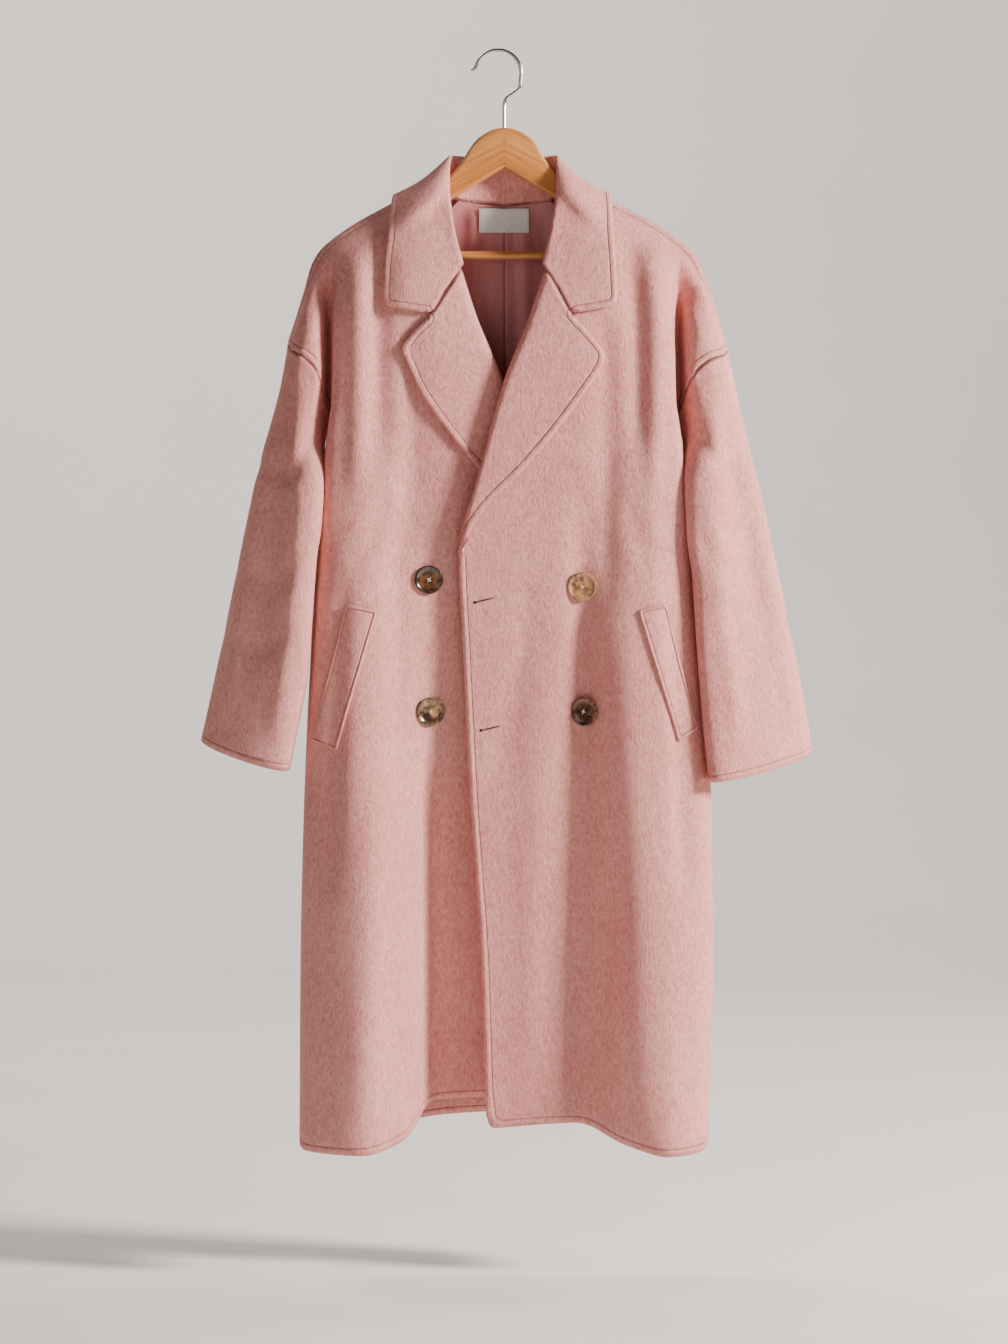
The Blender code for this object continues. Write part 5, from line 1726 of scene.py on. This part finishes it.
def wood_finish(name, along_bar):
    """Lacquered beech-coloured wood: grain runs down each arm from the middle joint, or along the bar."""
    made, shader, here = new_finish(name, Roughness=0.34, Coat_Weight=0.35, Coat_Roughness=0.12)
    x = here.axis("X") - CENTRE_X * MM
    z, y = here.axis("Z"), here.axis("Y")
    side = x.maths("ABSOLUTE", x)
    if along_bar:
        run, across = side, z
    else:
        run = side * math.cos(ARM_SLOPE) - z * math.sin(ARM_SLOPE)
        across = side * math.sin(ARM_SLOPE) + z * math.cos(ARM_SLOPE)

    def along_grain(length, width, depth):
        return here.add("CombineXYZ", (), {0: run * length, 1: across * width, 2: y * depth})

    grain = along_grain(14.0, 230.0, 150.0).noise(1.0, 3.0, 0.55, 0.7)
    pores = along_grain(120.0, 1500.0, 1200.0).noise(1.0, 2.0, 0.5)
    broad = along_grain(6.0, 42.0, 30.0).noise(1.0, 2.0)
    tone = (0.55 * grain + 0.45 * broad).step(0.36, 0.66)
    colour = tone.between(srgb(186, 108, 44), srgb(214, 146, 78))
    colour = (pores.step(0.62, 0.72) * 0.35).between(colour, srgb(150, 92, 46))
    if not along_bar:
        joint = side.bump_at(0.0, JOINT_WIDE)
        colour = (joint * 0.6).between(colour, srgb(150, 92, 48))
    plug(colour, shader, "Base Color")
    plug(0.3 + 0.12 * grain, shader, "Roughness")
    plug(raised(pores * 0.06 + grain * 0.05, 0.6), shader, "Normal")
    return made


arm_wood = wood_finish("honey_wood_arms", False)
bar_wood = wood_finish("honey_wood_bar", True)

hook_steel, shader, here = new_finish("polished_steel", Metallic=1.0, Roughness=0.16)
scuffs = here.stretched(260, 260, 900).noise(1.0, 3.0, 0.6)
plug(scuffs.step(0.3, 0.75).between(srgb(196, 196, 198), srgb(222, 222, 224)), shader, "Base Color")
plug(0.12 + 0.14 * scuffs, shader, "Roughness")

# %% [markdown]
# Each finished piece now gets its finish, rides on the one body, and stands for its solid.

# %% Finishes, bodies and solids
FINISHES = {
    "lining": (lining_satin, "lining_satin"),
    "neck_label": (label_satin, "label_satin"),
    "hanger_arms": (arm_wood, "hanger_wood"),
    "hanger_bar": (bar_wood, "hanger_wood"),
    "hanger_hook": (hook_steel, "hook_steel"),
    "button_1": (horn_dark, "button_horn"),
    "button_2": (horn_half, "button_horn"),
    "button_3": (horn_honey, "button_horn"),
    "button_4": (horn_brown, "button_horn"),
    "pocket_welt_left": (welt_wool, "coat_wool"),
    "pocket_welt_right": (welt_wool, "coat_wool"),
}


def dressed(obj, finish):
    obj.data.materials.clear()
    obj.data.materials.append(finish)
    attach(obj, "root")


for node, piece in pieces.items():
    finish, slot_name = FINISHES.get(node, (coat_wool, "coat_wool"))
    dressed(piece, finish)
    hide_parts(node)
for thread in button_threads:
    dressed(thread, button_thread)
dressed(binding, rose_thread)
dressed(slits, slit_shade)
dressed(stand_stitches, rose_thread)

# The cut of each piece, in metres: width and length of a rectangle of cloth that it would come from, set
# as round figures. Its area is the built cloth's, but never more than the rectangle's own. Its area is the
# built cloth's, printed as a share of the rectangle's.
CUTS = {
    "front_left": (0.52, 1.22, "hung", ("back", "hanger_arms")),
    "front_right": (0.52, 1.22, "hung", ("back", "hanger_arms")),
    "back": (0.58, 1.18, "hung", ("hanger_arms",)),
    "sleeve_left": (0.36, 0.54, "hung", ("front_left", "back")),
    "sleeve_right": (0.36, 0.54, "hung", ("front_right", "back")),
    "collar": (0.16, 0.58, "folded", ("front_left", "front_right", "back")),
    "lining": (0.34, 0.44, "hung", ("back",)),
    "neck_label": (0.0612, 0.0294, "hung", ("lining",)),
    "pocket_welt_left": (0.037, 0.172, "laid", ("front_left",)),
    "pocket_welt_right": (0.037, 0.172, "laid", ("front_right",)),
}
for node, (wide, long, held, rests_on) in CUTS.items():
    share = areas[node] / (wide * long)
    print(f"{node}: {areas[node]:.4f} m2, {share:.2f} of its cut")

# %% [markdown]
# A plain pale studio: a floor that curves up into a backdrop far behind, a strong lamp beside the coat's
# left that rakes across its folds, a weak wide one in front, one for its back, one for the backdrop, and
# a faint even sky. The camera stands far off and level, so the coat keeps the proportions it has when
# seen from across a room.

# %% Floor, light and camera
FLOOR_SIZE, FLOOR_PLACE = 20, (0, -3.4, -1.46)
BACKDROP_TALL, BACKDROP_CURVE = 8, 2.4
SKY_STRENGTH = 0.09

bpy.ops.object.select_all(action="DESELECT")
bpy.ops.mesh.primitive_plane_add(size=FLOOR_SIZE, location=FLOOR_PLACE)
floor = settle(bpy.context.object)
floor.name = "studio_floor"
bpy.ops.object.mode_set(mode="EDIT")
bpy.ops.mesh.select_all(action="DESELECT")
bpy.ops.object.mode_set(mode="OBJECT")
for edge in floor.data.edges:
    edge.select = all(floor.data.vertices[i].co.y > 2 for i in edge.vertices)
bpy.ops.object.mode_set(mode="EDIT")
bpy.ops.mesh.select_mode(type="EDGE")
bpy.ops.mesh.extrude_region_move(TRANSFORM_OT_translate={"value": (0, 0, BACKDROP_TALL)})
bpy.ops.mesh.select_all(action="SELECT")
bpy.ops.object.mode_set(mode="OBJECT")
bevelled(floor, BACKDROP_CURVE / MM, 24, 60)
only(floor)
bpy.ops.object.shade_smooth()
floor_paint, shader, here = new_finish("pale_floor", Roughness=0.8, Specular_IOR_Level=0.2)
plug(here.noise(3.0, 3.0).between(srgb(234, 229, 224), srgb(240, 236, 232)), shader, "Base Color")
floor.data.materials.append(floor_paint)


def lamp(name, place, target, size, power, colour):
    bpy.ops.object.light_add(type="AREA", location=place)
    made = bpy.context.object
    made.name = name
    made.data.shape = "RECTANGLE"
    made.data.size, made.data.size_y = size
    made.data.energy = power
    made.data.color = colour
    made.rotation_euler = (Vector(target) - Vector(place)).to_track_quat("-Z", "Y").to_euler()
    return made


lamp("key_lamp", (3.6, -1.45, 0.75), (0.05, 0, -0.65), (0.7, 0.7), 430, (1.0, 0.955, 0.92))
lamp("fill_lamp", (-1.9, -3.4, 0.5), (0, 0, -0.7), (1.8, 1.8), 15, (1.0, 0.98, 0.97))
lamp("backdrop_lamp", (-2.2, 2.4, 3.4), (0.4, 6.6, -0.6), (2.4, 2.4), 230, (1.0, 0.98, 0.96))
lamp("rear_lamp", (3.4, 2.5, 1.4), (0, 0, -0.7), (1.0, 1.0), 80, (1.0, 0.97, 0.95))
world = bpy.data.worlds.new("studio_sky")
world.use_nodes = True
world.node_tree.nodes["Background"].inputs["Color"].default_value = (1.0, 0.97, 0.94, 1)
world.node_tree.nodes["Background"].inputs["Strength"].default_value = SKY_STRENGTH
bpy.context.scene.world = world

CAMERA_AWAY = 4.5
FRAME_TALL = 1.6128
camera_data = bpy.data.cameras.new("camera")
camera_data.sensor_fit = "VERTICAL"
camera_data.sensor_height = 24.0
camera_data.lens = camera_data.sensor_height * CAMERA_AWAY / FRAME_TALL
camera = bpy.data.objects.new("camera", camera_data)
camera.location = (0.0042, -CAMERA_AWAY, -0.744)
camera.rotation_euler = (math.pi / 2, 0, 0)
bpy.context.scene.collection.objects.link(camera)
bpy.context.scene.camera = camera
